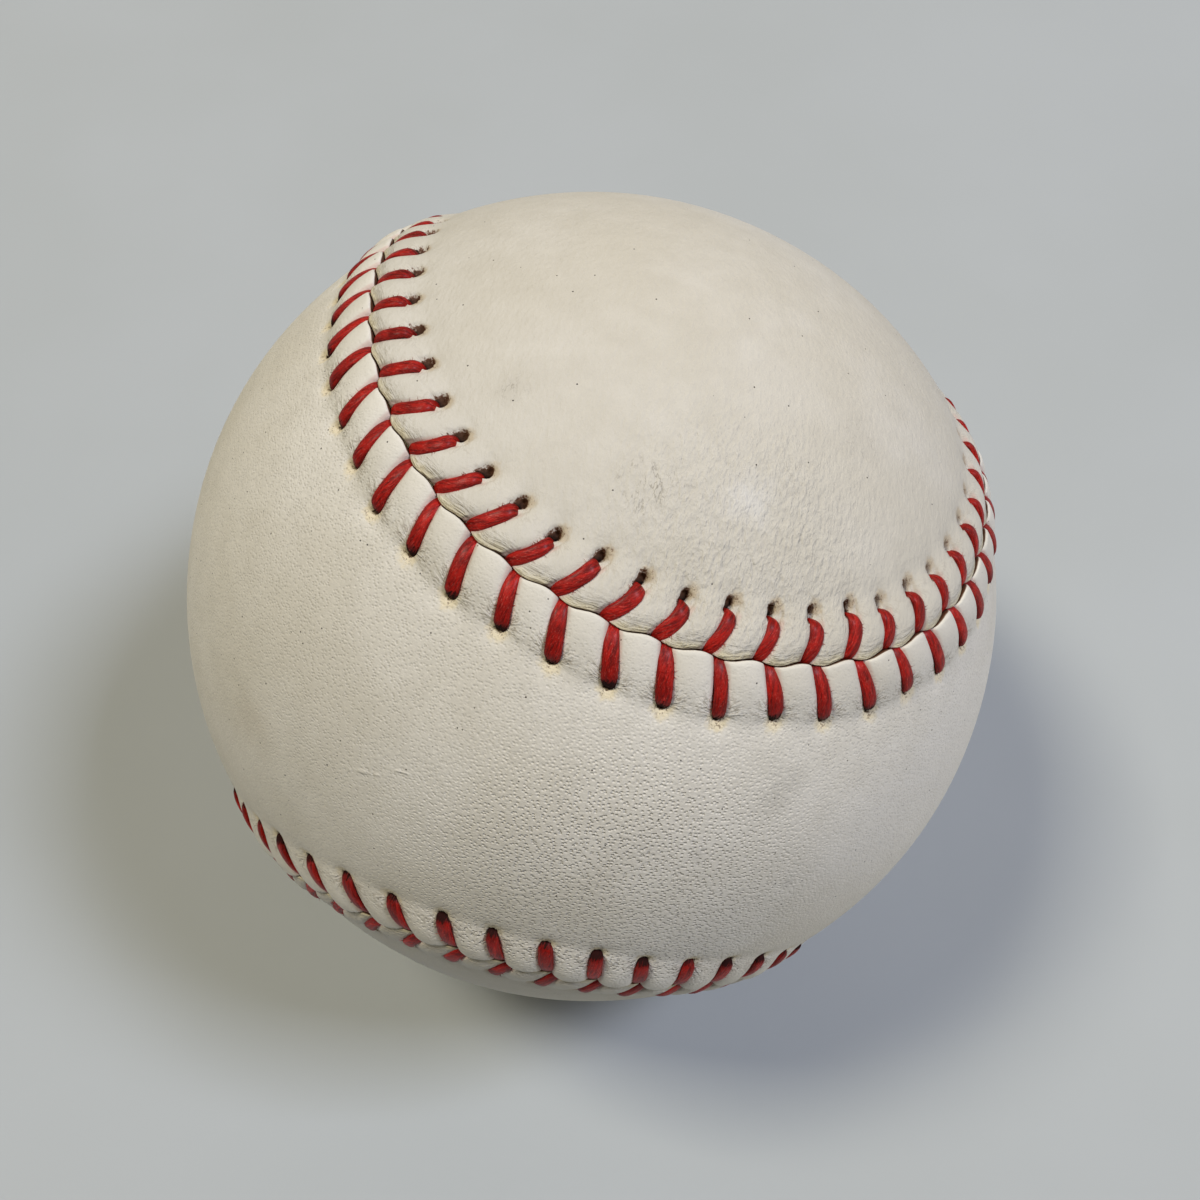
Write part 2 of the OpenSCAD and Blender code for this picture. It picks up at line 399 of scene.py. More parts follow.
@dataclass
class CoverPanel:
    """One figure-eight panel of leather as a closed shell: face, cut edge and lining."""

    side: Side
    plan: StitchPlan
    relief: Relief
    tip_turn: float
    leather_t: float = 1.0
    beds: tuple[float, ...] = (0.17, 0.3, 0.38, 0.43, 0.5, 0.62, 0.81, 1.1, 1.45)
    insets: tuple[float, ...] = (
        0, 0.015, 0.05, 0.11, 0.2, 0.34, 0.53, 0.75, 1.0, 1.25, 1.5, 1.8, 2.1, 2.4, 2.65, 2.88,
        3.08, 3.26, 3.44, 3.62, 3.8, 3.98, 4.16, 4.36, 4.6, 4.85, 5.15, 5.5, 5.9, 6.4,
    )
    rim_inset: float = 7.0
    even_start: float = 5.0
    cells: int = 30
    lining_cells: int = 12
    lining_edge: float = 0.25
    lining_middle: float = 3.0
    swell: float = 0.12
    swell_waves: int = 9
    swell_spread: float = 5.5
    swell_seed: int = 5

    def _columns(self, inset: float) -> np.ndarray:
        """Places of the columns at one inset, close together beside the thread.

        Args:
            inset: The distance from the panel's edge.

        Returns:
            Places along the seam, in stitches.
        """
        pitch = self.plan.seam.pitch
        near = np.array([*(-b for b in reversed(self.beds)), 0, *self.beds, pitch / 2]) / pitch
        half = len(self.beds)
        even = np.arange(-half, half + 2) / len(near)
        share = smooth_step(self.even_start, self.rim_inset, np.float64(inset))
        own = near * (1 - share) + even * share
        return (np.arange(self.plan.seam.stitches)[:, None] + own).reshape(-1)

    def _swelling(self, directions: np.ndarray) -> np.ndarray:
        """The slight unevenness of a ball that has been in use.

        Args:
            directions: Unit vectors in the frame's axes.

        Returns:
            Heights in millimetres.
        """
        draw = np.random.default_rng(self.swell_seed)
        waves = draw.normal(0, self.swell_spread, (self.swell_waves, 3))
        starts = draw.uniform(0, 2 * np.pi, self.swell_waves)
        return self.swell * np.sin(directions @ waves.T + starts).mean(axis=-1)

    def _row(self, inset: float, level: float | None = None, every: int = 1) -> tuple[np.ndarray, np.ndarray]:
        """One row of points round the panel.

        Args:
            inset: The row's distance from the panel's edge.
            level: The row's height, or None where the relief gives it.
            every: Takes every column, every second or every fourth.

        Returns:
            The points, and their places in the stitches' grid.
        """
        stitch = self._columns(inset)[::every]
        seam = self.plan.seam
        directions = self.plan.place(self.side, stitch, inset)
        if level is None:
            level = self.relief.height(stitch, np.full_like(stitch, inset), seam.pitch, seam.stitches)
            level = level + self._swelling(directions)
        points = np.reshape(seam.radius + level, (-1, 1)) * directions
        return points, np.stack([stitch, np.full_like(stitch, inset)], axis=-1)

    def _band(self, parts: MeshParts, numbers: np.ndarray, grid: np.ndarray, flip: bool) -> None:
        """Quads between neighbouring rows of equal length.

        Args:
            parts: The mesh that gets the faces.
            numbers: Numbers of the rows' points.
            grid: The points' places in the stitches' grid.
            flip: True for the faces that look inward.
        """
        ahead = np.roll(numbers, -1, axis=1)
        grid_ahead = np.roll(grid, -1, axis=1)
        grid_ahead[:, -1, 0] += self.plan.seam.stitches
        faces = np.stack([numbers[:-1], ahead[:-1], ahead[1:], numbers[1:]], axis=-1)
        places = np.stack([grid[:-1], grid_ahead[:-1], grid_ahead[1:], grid[1:]], axis=-2)
        self._put(parts, faces.reshape(-1, 4), places.reshape(-1, 4, 2), flip)

    def _halving(self, parts: MeshParts, numbers: tuple[np.ndarray, np.ndarray],
                 grids: tuple[np.ndarray, np.ndarray], flip: bool) -> None:
        """Triangles from a row to one with half its points.

        Args:
            parts: The mesh that gets the faces.
            numbers: Numbers of the points, of the fine row and of the coarse one.
            grids: The points' places in the stitches' grid, of both rows.
            flip: True for the faces that look inward.
        """
        lap = np.array([self.plan.seam.stitches, 0.0])
        closed = [np.append(row, row[0]) for row in numbers]
        closed_grids = [np.vstack([grid, grid[:1] + lap]) for grid in grids]
        cells = np.arange(len(numbers[1]))
        for triangle in HALVING:
            where = [(row, cells * (2 - row) + step) for row, step in triangle]
            faces = np.stack([closed[row][at] for row, at in where], axis=-1)
            places = np.stack([closed_grids[row][at] for row, at in where], axis=-2)
            self._put(parts, faces, places, flip)

    def _put(self, parts: MeshParts, faces: np.ndarray, grid: np.ndarray, flip: bool) -> None:
        """Adds faces, turned over where the side or the lining asks for it."""
        way = -1 if flip != (self.side is Side.LOWER) else 1
        parts.add_faces(faces[:, ::way], grid[:, ::way])

    def _chords(self, parts: MeshParts, ring: np.ndarray, ring_points: np.ndarray, grid: np.ndarray,
                cells: int, lining: bool) -> None:
        """Fills a panel inside a ring of points with chords that join mirror points.

        Args:
            parts: The mesh that gets the points and faces.
            ring: Numbers of the ring's points.
            ring_points: The ring's points.
            grid: The ring's places in the stitches' grid.
            cells: How many cells a chord has.
            lining: True for the inner face.
        """
        seam = self.plan.seam
        count = len(ring)
        tip = seam.stitch_of_turn(self.tip_turn)
        lean = self.plan.lean(self.side, np.float64(tip), np.float64(self.rim_inset)) / seam.pitch
        spacing = seam.stitches / count
        last = math.floor((tip - grid[0, 0] - lean) / spacing)
        chord = np.arange(count // 2)
        start, end = (last + 1 + chord) % count, (last - chord) % count
        share = (np.arange(1, cells) / cells)[None, :, None]
        a, b = unit(ring_points[start])[1:-1, None], unit(ring_points[end])[1:-1, None]
        directions = unit(a * (1 - share) + b * share)
        level = -self.leather_t if lining else self._swelling(directions)[..., None]
        inner = parts.add_points((seam.radius + level) * directions)
        rows = np.hstack([ring[start][1:-1, None], inner, ring[end][1:-1, None]])
        quads = np.stack([rows[:-1, :-1], rows[1:, :-1], rows[1:, 1:], rows[:-1, 1:]], axis=-1)
        far = np.array([0.0, self.rim_inset])
        for faces in (quads.reshape(-1, 4),
                      self._tip_fan(ring[start[0]], ring[end[0]], rows[0]),
                      self._tip_fan(ring[start[-1]], ring[end[-1]], rows[-1])[:, ::-1]):
            places = np.broadcast_to(far, (*faces.shape, 2)).copy()
            self._put(parts, faces, places, lining)

    @staticmethod
    def _tip_fan(near: int, far: int, row: np.ndarray) -> np.ndarray:
        """Triangles from the last two ring points at a tip to the first whole chord.

        Args:
            near: The number of the ring point at the chord's start.
            far: The number of the ring point at its end.
            row: Numbers of the chord's points.

        Returns:
            The triangles, one in each row.
        """
        middle = len(row) // 2
        first = [(near, row[c], row[c + 1]) for c in range(middle)]
        second = [(far, row[c], row[c + 1]) for c in range(middle, len(row) - 1)]
        return np.array([*first, (near, row[middle], far), *second])

    def build(self, name: str) -> bpy.types.Object:
        """Makes the panel's closed mesh.

        Args:
            name: The piece's name.

        Returns:
            The new object, linked to the scene.
        """
        parts = MeshParts()
        rows = [self._row(inset) for inset in self.insets]
        grid = np.stack([row[1] for row in rows])
        outer = parts.add_points(np.stack([row[0] for row in rows]))
        self._band(parts, outer, grid, False)
        rim_points, rim_grid = self._row(self.rim_inset, every=2)
        rim = parts.add_points(rim_points)
        self._halving(parts, (outer[-1], rim), (grid[-1], rim_grid), False)
        self._chords(parts, rim, rim_points, rim_grid, self.cells, False)

        edge_points, edge_grid = self._row(self.lining_edge, -self.leather_t)
        edge = parts.add_points(edge_points)
        edge_grid = edge_grid * [1, 0]
        self._band(parts, np.stack([outer[0], edge]), np.stack([grid[0], edge_grid]), True)
        middle_points, middle_grid = self._row(self.lining_middle, -self.leather_t, every=2)
        middle = parts.add_points(middle_points)
        self._halving(parts, (edge, middle), (edge_grid, middle_grid), True)
        inner_points, inner_grid = self._row(self.rim_inset, -self.leather_t, every=4)
        inner = parts.add_points(inner_points)
        self._halving(parts, (middle, inner), (middle_grid, inner_grid), True)
        self._chords(parts, inner, inner_points, inner_grid, self.lining_cells, True)
        return mesh_object(name, parts, ("along", "inset"))


def mesh_object(name: str, parts: MeshParts, attributes: Sequence[str]) -> bpy.types.Object:
    """Turns gathered points and faces into an object with smooth faces.

    Args:
        name: The piece's name.
        parts: Its points in millimetres, its faces and their corners' numbers.
        attributes: Names of the numbers that each corner holds.

    Returns:
        The new object, linked to the scene.
    """
    mesh = bpy.data.meshes.new(name)
    faces = [face for group in parts.faces for face in group.tolist()]
    mesh.from_pydata(np.vstack(parts.points) * MM, [], faces)
    corners = np.vstack([group.reshape(-1, group.shape[-1]) for group in parts.corners])
    for column, attribute in enumerate(attributes):
        layer = mesh.attributes.new(attribute, "FLOAT", "CORNER")
        layer.data.foreach_set("value", np.ascontiguousarray(corners[:, column], np.float32))
    mesh.shade_smooth()
    piece = bpy.data.objects.new(name, mesh)
    bpy.context.scene.collection.objects.link(piece)
    return piece


@dataclass(frozen=True)
class LegPath:
    """The run of one leg's centre line: inset, height and drift along the seam, in millimetres."""

    insets: tuple[float, ...]
    heights: tuple[float, ...]
    drifts: tuple[float, ...]

    def controls(self) -> np.ndarray:
        """The run's points, one in each row."""
        return np.stack([self.insets, self.heights, self.drifts], axis=-1)


# What the corners of the thread's mesh hold, in this order
THREAD_NUMBERS = ("length_run", "strand_across", "strand_up", "leg_inset", "leg_shade")


@dataclass
class RedThread:
    """The visible thread: two flattened legs for each stitch."""

    plan: StitchPlan
    upper: LegPath = LegPath(
        insets=(-0.25, 0.02, 0.3, 0.7, 1.2, 1.7, 2.2, 2.6, 2.9, 3.06, 3.12),
        heights=(-0.75, -0.34, -0.02, 0.15, 0.26, 0.31, 0.31, 0.24, 0.06, -0.28, -0.75),
        drifts=(0, 0, 0.0, 0.02, 0.04, 0.05, 0.02, -0.06, -0.16, -0.24, -0.3),
    )
    lower: LegPath = LegPath(
        insets=(-0.25, 0.0, 0.28, 0.7, 1.3, 2.0, 2.65, 3.15, 3.5, 3.72, 3.82),
        heights=(-0.78, -0.36, -0.02, 0.19, 0.33, 0.36, 0.3, 0.18, 0.0, -0.3, -0.75),
        drifts=(0, 0, 0, 0.0, 0.02, 0.02, 0.0, -0.02, -0.04, -0.05, -0.05),
    )
    half_w: float = 0.555
    half_t: float = 0.27
    flatness: float = 0.8
    scale_span: Span = (0.94, 1.06)
    root_share: float = 0.93
    root_span: Span = (0.1, 1.0)
    tip_share: float = 0.86
    tip_length: float = 0.6
    rings: int = 26
    sides: int = 14
    lobes: int = 2
    lobe_share: float = 0.04
    twist_per_mm: float = 0.4
    sway: float = 0.09
    aim: float = 0.2
    hairs: int = 22
    hair_r: float = 0.022
    hair_length: Span = (0.12, 0.42)
    hair_rings: tuple[int, int] = (4, 19)
    hair_lean: float = 0.9
    seed: int = 23

    def _flattened(self, part: np.ndarray) -> np.ndarray:
        """One part of a round outline, squared off like a thread that is pulled flat."""
        return np.sign(part) * np.abs(part) ** self.flatness

    def _leg(self, side: Side, stitch: int, draw: np.random.Generator) -> tuple[np.ndarray, np.ndarray]:
        """One leg's rings of points, and the numbers that its finish reads.

        Args:
            side: The panel that the leg lies on.
            stitch: The stitch's number.
            draw: Source of the leg's own unevenness.

        Returns:
            Points as rings by sides, and for each point the length run, the two parts
            of the strand's angle, the inset and the leg's own shade.
        """
        path = self.upper if side is Side.UPPER else self.lower
        run = curve_through(path.controls(), self.rings)
        inset, height, drift = run.T
        middle = np.clip(inset / self.plan.hole_inset, 0, 1)
        bow = draw.uniform(-self.sway, self.sway) * np.sin(np.pi * middle)
        scale_w, scale_t = (draw.uniform(*self.scale_span) for _ in range(2))
        seam = self.plan.seam
        up = self.plan.place(side, stitch + (drift + bow) / seam.pitch, inset)
        centre = (seam.radius + height)[:, None] * up
        tangent = unit(np.gradient(centre, axis=0))
        ahead = self.plan.place(side, np.full_like(inset, stitch), inset + self.aim)
        across = unit(np.cross(ahead - self.plan.place(side, np.full_like(inset, stitch), inset), up))
        lift = unit(np.cross(across, tangent))
        length = np.concatenate([[0], np.cumsum(np.linalg.norm(np.diff(centre, axis=0), axis=1))])
        angle = np.linspace(0, 2 * np.pi, self.sides, endpoint=False)
        twist = draw.uniform(0, 2 * np.pi) + self.twist_per_mm * length[:, None]
        strand = angle[None, :] + twist
        taper = self.root_share + (1 - self.root_share) * smooth_step(*self.root_span, inset)[:, None]
        tip = smooth_step(inset[-1] - self.tip_length, inset[-1], inset)[:, None]
        taper = taper * (1 - (1 - self.tip_share) * tip)
        lobe = 1 + self.lobe_share * np.cos(self.lobes * strand)
        wide = self.half_w * scale_w * taper * lobe * self._flattened(np.cos(angle))
        thick = self.half_t * scale_t * lobe * self._flattened(np.sin(angle))
        points = centre[:, None] + wide[..., None] * across[:, None] + thick[..., None] * lift[:, None]
        shade = draw.uniform(0, 1)
        numbers = np.stack(
            [
                np.broadcast_to(length[:, None], strand.shape),
                np.cos(strand),
                np.sin(strand),
                np.broadcast_to(inset[:, None], strand.shape),
                np.full(strand.shape, shade),
            ],
            axis=-1,
        )
        return points, numbers

    def _fuzz(self, parts: MeshParts, points: np.ndarray, numbers: np.ndarray,
              draw: np.random.Generator) -> None:
        """Adds the short loose fibres along a leg's edges, each a slim closed spike.

        Args:
            parts: The mesh that gets the fibres.
            points: The leg's rings of points.
            numbers: The numbers of the leg's points.
            draw: Source of the fibres' places and lengths.
        """
        ring = draw.integers(*self.hair_rings, self.hairs)
        off_edge = draw.integers(-1, 2, self.hairs)
        half_turn = draw.integers(0, 2, self.hairs) * (self.sides // 2)
        edge = (off_edge + half_turn) % self.sides
        base, middle = points[ring, edge], points[ring].mean(axis=1)
        run = unit(points[ring + 1].mean(axis=1) - middle)
        lean = draw.uniform(-self.hair_lean, self.hair_lean, (self.hairs, 1))
        way = unit(unit(base - middle) + run * lean)
        first = unit(np.cross(way, run))
        second = np.cross(way, first)
        length = draw.uniform(*self.hair_length, (self.hairs, 1))
        turns = np.linspace(0, 2 * np.pi, 3, endpoint=False)
        foot = base[:, None] + self.hair_r * (
            np.cos(turns)[:, None] * first[:, None] + np.sin(turns)[:, None] * second[:, None])
        corners = parts.add_points(np.concatenate([foot, (base + way * length)[:, None]], axis=1))
        for pick in ([0, 1, 3], [1, 2, 3], [2, 0, 3], [2, 1, 0]):
            faces = corners[:, pick]
            parts.add_faces(faces, np.repeat(numbers[ring, edge][:, None], 3, axis=1))

    @staticmethod
    def _quads(rings: np.ndarray) -> np.ndarray:
        """The four corners of each cell between neighbouring rings.

        Args:
            rings: Values as rings by sides, with any axes after those.

        Returns:
            The values at the corners, one cell in each row.
        """
        ahead = np.roll(rings, -1, axis=1)
        cells = np.stack([rings[:-1], rings[1:], ahead[1:], ahead[:-1]], axis=2)
        return cells.reshape(-1, *cells.shape[2:])

    def build(self, name: str) -> bpy.types.Object:
        """Makes all the legs as one mesh of separate closed strands.

        Args:
            name: The piece's name.

        Returns:
            The new object, linked to the scene.
        """
        draw, fuzz_draw = np.random.default_rng(self.seed), np.random.default_rng(self.seed + 1)
        parts = MeshParts()
        for stitch in range(self.plan.seam.stitches):
            for side in Side:
                points, numbers = self._leg(side, stitch, draw)
                rings = parts.add_points(points)
                parts.add_faces(self._quads(rings), self._quads(numbers))
                parts.add_faces(rings[:1], numbers[:1])
                parts.add_faces(rings[-1:, ::-1], numbers[-1:, ::-1])
                self._fuzz(parts, points, numbers, fuzz_draw)
        return mesh_object(name, parts, THREAD_NUMBERS)


class Amount:
    """A number that varies over a surface, as a node's socket that plain arithmetic works on."""

    def __init__(self, shader: "Shader", socket: bpy.types.NodeSocket) -> None:
        """Keeps the shader that the socket belongs to."""
        self.shader = shader
        self.socket = socket

    def __add__(self, other: "Amount | float") -> "Amount":
        """Sum."""
        return self.shader.math("ADD", self, other)

    def __sub__(self, other: "Amount | float") -> "Amount":
        """Difference."""
        return self.shader.math("SUBTRACT", self, other)

    def __rsub__(self, other: float) -> "Amount":
        """Difference from a number."""
        return self.shader.math("SUBTRACT", other, self)

    def __mul__(self, other: "Amount | float") -> "Amount":
        """Product."""
        return self.shader.math("MULTIPLY", self, other)

    def __truediv__(self, other: "Amount | float") -> "Amount":
        """Quotient."""
        return self.shader.math("DIVIDE", self, other)

    __radd__ = __add__
    __rmul__ = __mul__


Input = Amount | float | Sequence[float]
# A factor for a colour, and how bright it makes it at 0 and at 1
Tone = tuple[Amount, Span]
# A height for the bump, and how many millimetres a height of 1 stands proud
Layer = tuple[Amount, float]
# What a noise swings round
NOISE_MIDDLE = 0.5


@dataclass(frozen=True)
class Noise:
    """A cloudy noise, with so many waves a millimetre."""

    per_mm: float
    detail: float = 2
    roughness: float = 0.5
    distortion: float = 0

    def spread(self, by: float) -> "Noise":
        """The same noise, drawn out by a factor."""
        return replace(self, per_mm=self.per_mm / by)


class Winding(Enum):
    """The two ways in which yarn crosses, as the wave node names them."""

    STRAIGHT = "X"
    SLANTING = "DIAGONAL"


class Shader:
    """A material's node tree, with one short method for each kind of step."""

    def __init__(self, name: str) -> None:
        """Starts an empty material.

        Args:
            name: The material's name.
        """
        self.material = bpy.data.materials.new(name)
        self.material.use_nodes = True
        self.tree = self.material.node_tree
        self.tree.nodes.clear()

    def node(self, kind: str, settings: dict[str, Any], inputs: dict[str, Input],
             output: str | None = None) -> Amount:
        """Adds a node.

        Args:
            kind: The node's type.
            settings: Its properties, which are set first.
            inputs: Values or links by the sockets' identifiers.
            output: The output's identifier, or None for the first one.

        Returns:
            The chosen output.
        """
        node = self.tree.nodes.new(kind)
        for key, value in settings.items():
            setattr(node, key, value)
        sockets = {socket.identifier: socket for socket in node.inputs}
        for key, value in inputs.items():
            if isinstance(value, Amount):
                self.tree.links.new(value.socket, sockets[key])
            else:
                sockets[key].default_value = value
        outputs = {socket.identifier: socket for socket in node.outputs}
        return Amount(self, outputs[output] if output else node.outputs[0])

    def math(self, operation: str, *values: Input) -> Amount:
        """Plain arithmetic on numbers."""
        names = ("Value", "Value_001", "Value_002")
        return self.node("ShaderNodeMath", {"operation": operation}, dict(zip(names, values)))

    def rise(self, value: Amount, span: Span) -> Amount:
        """A mask that runs smoothly from 0 at the span's first number to 1 at its second."""
        return self.node(
            "ShaderNodeMapRange",
            {"interpolation_type": "SMOOTHSTEP"},
            {"Value": value, "From Min": span[0], "From Max": span[1]},
        )

    def number(self, name: str) -> Amount:
        """A number that the mesh holds."""
        return self.node("ShaderNodeAttribute", {"attribute_name": name}, {}, "Fac")

    def place(self) -> Amount:
        """The place on the piece in millimetres, as a vector."""
        here = self.node("ShaderNodeTexCoord", {}, {}, "Object")
        return self.vector_math("MULTIPLY", here, (1 / MM,) * 3)

    def vector_math(self, operation: str, vector: Amount, other: Amount | Sequence[float],
                    output: str | None = None) -> Amount:
        """Arithmetic on vectors."""
        return self.node("ShaderNodeVectorMath", {"operation": operation},
                         {"Vector": vector, "Vector_001": other}, output)

    def shifted(self, vector: Amount, by: Sequence[float]) -> Amount:
        """A vector with a step added to it."""
        return self.vector_math("ADD", vector, by)

    def joined(self, x: Input, y: Input, z: Input) -> Amount:
        """A vector of three numbers."""
        return self.node("ShaderNodeCombineXYZ", {}, {"X": x, "Y": y, "Z": z})

    def along(self, vector: Amount, direction: Sequence[float]) -> Amount:
        """How far a vector reaches along a direction."""
        return self.vector_math("DOT_PRODUCT", vector, tuple(direction), "Value")

    def distance(self, vector: Amount, point: Amount | Sequence[float]) -> Amount:
        """Distance of a vector from a point."""
        far = point if isinstance(point, Amount) else tuple(point)
        return self.vector_math("DISTANCE", vector, far, "Value")

    def from_stroke(self, vector: Amount, start: np.ndarray, end: np.ndarray) -> Amount:
        """Distance of a vector from a straight stroke.

        Args:
            vector: The place to measure from, in millimetres.
            start: The stroke's first point.
            end: The stroke's last point.

        Returns:
            The distance in millimetres.
        """
        way = end - start
        share = (self.along(vector, way) - float(start @ way)) / float(way @ way)
        held = self.node("ShaderNodeClamp", {}, {"Value": share})
        return self.distance(vector, self.joined(*(float(a) + float(w) * held for a, w in zip(start, way))))

    def grained(self, vector: Amount, direction: Sequence[float], share: float) -> Amount:
        """A vector with its part along a direction shrunk, so that noise on it is drawn out that way.

        Args:
            vector: The place on the piece.
            direction: The way along which the noise is drawn out.
            share: What is left of the part along it.

        Returns:
            The new vector.
        """
        way = Vector(direction).normalized()
        first = way.orthogonal().normalized()
        second = way.cross(first)
        return self.joined(
            self.along(vector, way) * share,
            self.along(vector, first),
            self.along(vector, second),
        )

    def noise(self, vector: Amount, noise: Noise) -> Amount:
        """A noise from 0 to 1."""
        settings = {"Scale": noise.per_mm, "Detail": noise.detail, "Roughness": noise.roughness}
        return self.node(
            "ShaderNodeTexNoise",
            {"noise_dimensions": "3D"},
            {"Vector": vector, "Distortion": noise.distortion, **settings},
        )

    def swing(self, vector: Amount, noise: Noise) -> Amount:
        """A noise that swings round zero."""
        return self.noise(vector, noise) - NOISE_MIDDLE

    def lines(self, noise: Amount, width: float) -> Amount:
        """Thin winding lines, where a noise passes its middle."""
        return self.rise(self.math("ABSOLUTE", noise - NOISE_MIDDLE), (width, 0.0))

    def cells(self, vector: Amount, per_mm: float, flat: bool = False) -> Amount:
        """Distance from the middles of irregular cells, which are flat ones where asked."""
        settings = {"feature": "F1", "voronoi_dimensions": "2D" if flat else "3D"}
        return self.node("ShaderNodeTexVoronoi", settings, {"Vector": vector, "Scale": per_mm}, "Distance")

    def bands(self, vector: Amount, per_mm: float, way: Winding, waver: Noise) -> Amount:
        """Parallel bands across one way, which the noise makes waver."""
        return self.node(
            "ShaderNodeTexWave",
            {"wave_type": "BANDS", "bands_direction": way.value},
            {"Vector": vector, "Scale": per_mm, "Distortion": waver.distortion, "Detail": waver.detail,
             "Detail Scale": waver.per_mm},
            "Fac",
        )

    def mix(self, factor: Input, first: Amount | Colour, second: Amount | Colour) -> Amount:
        """Two colours mixed.

        Args:
            factor: The second colour's share.
            first: The colour at 0.
            second: The colour at 1.

        Returns:
            The mixed colour.
        """
        inputs = {"Factor_Float": factor}
        for key, value in (("A_Color", first), ("B_Color", second)):
            inputs[key] = value if isinstance(value, Amount) else linear(value)
        return self.node("ShaderNodeMix", {"data_type": "RGBA"}, inputs, "Result_Color")

    def shaded(self, colour: Amount, *tones: Tone) -> Amount:
        """A colour made darker or lighter.

        Args:
            colour: The colour to start from.
            tones: Factors, each with the brightness at 0 and at 1.

        Returns:
            The new colour.
        """
        for factor, (low, high) in tones:
            tone = low + (high - low) * factor
            grey = self.joined(tone, tone, tone)
            colour = self.node("ShaderNodeMix", {"data_type": "RGBA", "blend_type": "MULTIPLY"},
                               {"Factor_Float": 1.0, "A_Color": colour, "B_Color": grey}, "Result_Color")
        return colour

    def relief(self, *layers: Layer) -> Amount:
        """Small relief of several layers, each on the one before.

        Args:
            layers: Heights, each with its depth in millimetres.

        Returns:
            The surface's new direction.
        """
        below: dict[str, Amount] = {}
        for height, depth in layers:
            inputs = {"Height": height, "Distance": depth * MM, **below}
            below = {"Normal": self.node("ShaderNodeBump", {}, inputs)}
        return below["Normal"]

    def finish(self, inputs: dict[str, Input]) -> bpy.types.Material:
        """Closes the tree.

        Args:
            inputs: The surface's own values, by the sockets' identifiers.

        Returns:
            The finished material.
        """
        surface = self.node("ShaderNodeBsdfPrincipled", {}, inputs)
        output = self.tree.nodes.new("ShaderNodeOutputMaterial")
        self.tree.links.new(surface.socket, output.inputs["Surface"])
        return self.material


@dataclass(frozen=True)
class SmudgeOrHighlight:
    """A soft patch on the leather, mostly a smudge of dirt and once a painted highlight: its pixel in the
    photograph, size, colour, strength and flecks.
    """

    pixel: tuple[float, float]
    radius: float
    colour: Colour
    strength: float
    flecks: float = 0.5


@dataclass(frozen=True)
class Crease:
    """A short raised stroke in the leather, between two pixels of the photograph."""

    start: tuple[float, float]
    end: tuple[float, float]
    half_w: float = 0.22
    height: float = 0.05


@dataclass(frozen=True)
class Grain:
    """The leather's grain: streaks and small pits, both drawn out along one direction, with painted shade and
    light on the streaks, painted shade in the pits and painted glints beside them.

    It shows most round a pixel of the photograph. Over the reach, in millimetres, it fades to the share
    at rest.
    """

    direction: tuple[float, float, float]
    heart: tuple[float, float]
    reach: Span
    rest: float
    streak_share: float
    streaks: Noise
    streak_depth: float
    # Painted shade in the streaks' hollows, with half as much painted light on their tops
    streak_painted_shade: float
    pore_share: float
    pores_per_mm: float
    pore_depth: float
    # Painted shade in the pits
    pore_painted_shade: float
    # Painted glints beside the pits: their shift from each pit, and their brightness
    glint_shift: tuple[float, float, float] = (0.0, 0.075, 0.045)
    painted_glint_light: float = 0.0
    pit_span: Span = (0.34, 0.1)
    # The painted glints' size
    glint_span: Span = (0.34, 0.12)
    loose_scale: float = 1.4
    loose_ragged: float = 0.2
    loose_span: Span = (0.55, 0.1)
    contrast: float = 3


@dataclass(frozen=True)
class HoleMark:
    """A stitch hole's dark mouth and the stain round it, placed as inset and distance beside the leg."""

    at: tuple[float, float]
    half: tuple[float, float]
    tip: tuple[float, float]
    rim: Colour
    stain: Colour
    stain_at: tuple[float, float]
    stain_half: tuple[float, float]
    stain_strength: float


@dataclass(frozen=True)
class PhotoCamera:
    """The viewpoint, found by fits to the photograph, in ball radii and pixels."""

    radius: float
    elevation_deg: float = 60.0
    distance: float = 3.25
    right_shift: float = -0.0201
    down_shift: float = -0.0086
    focal_px: float = 1253.2
    frame_px: float = 1200.0
    sensor_mm: float = 36.0
    clip_share: float = 0.1

    def axes(self) -> np.ndarray:
        """The camera's right, down and forward directions.

        Returns:
            Unit vectors, one in each row.
        """
        angle = math.radians(self.elevation_deg)
        sine, cosine = math.sin(angle), math.cos(angle)
        return np.array([[1, 0, 0], [0, -sine, -cosine], [0, cosine, -sine]])

    def position(self) -> np.ndarray:
        """The camera's place in millimetres."""
        shift = np.array([self.right_shift, self.down_shift, self.distance])
        return -shift @ self.axes() * self.radius

    def point(self, pixel: tuple[float, float]) -> np.ndarray:
        """The place on the ball that a pixel of the photograph shows.

        Args:
            pixel: The pixel, counted from the top left.

        Returns:
            The place in millimetres.
        """
        right, down = ((value - self.frame_px / 2) / self.focal_px for value in pixel)
        ray = unit(np.array([right, down, 1]) @ self.axes())
        start = self.position()
        half = ray @ start
        reach = -half - math.sqrt(half * half - start @ start + self.radius**2)
        return start + reach * ray

    def build(self) -> None:
        """Makes the camera and gives it to the scene."""
        data = bpy.data.cameras.new("photo_camera")
        data.sensor_fit = "HORIZONTAL"
        data.sensor_width = self.sensor_mm
        data.lens = self.focal_px / self.frame_px * self.sensor_mm
        data.clip_start = self.clip_share * self.radius * MM
        camera = bpy.data.objects.new("photo_camera", data)
        right, down, forward = self.axes()
        turn = Matrix(np.stack([right, -down, -forward], axis=1).tolist()).to_4x4()
        camera.matrix_world = Matrix.Translation(Vector(self.position() * MM)) @ turn
        bpy.context.scene.collection.objects.link(camera)
        bpy.context.scene.camera = camera


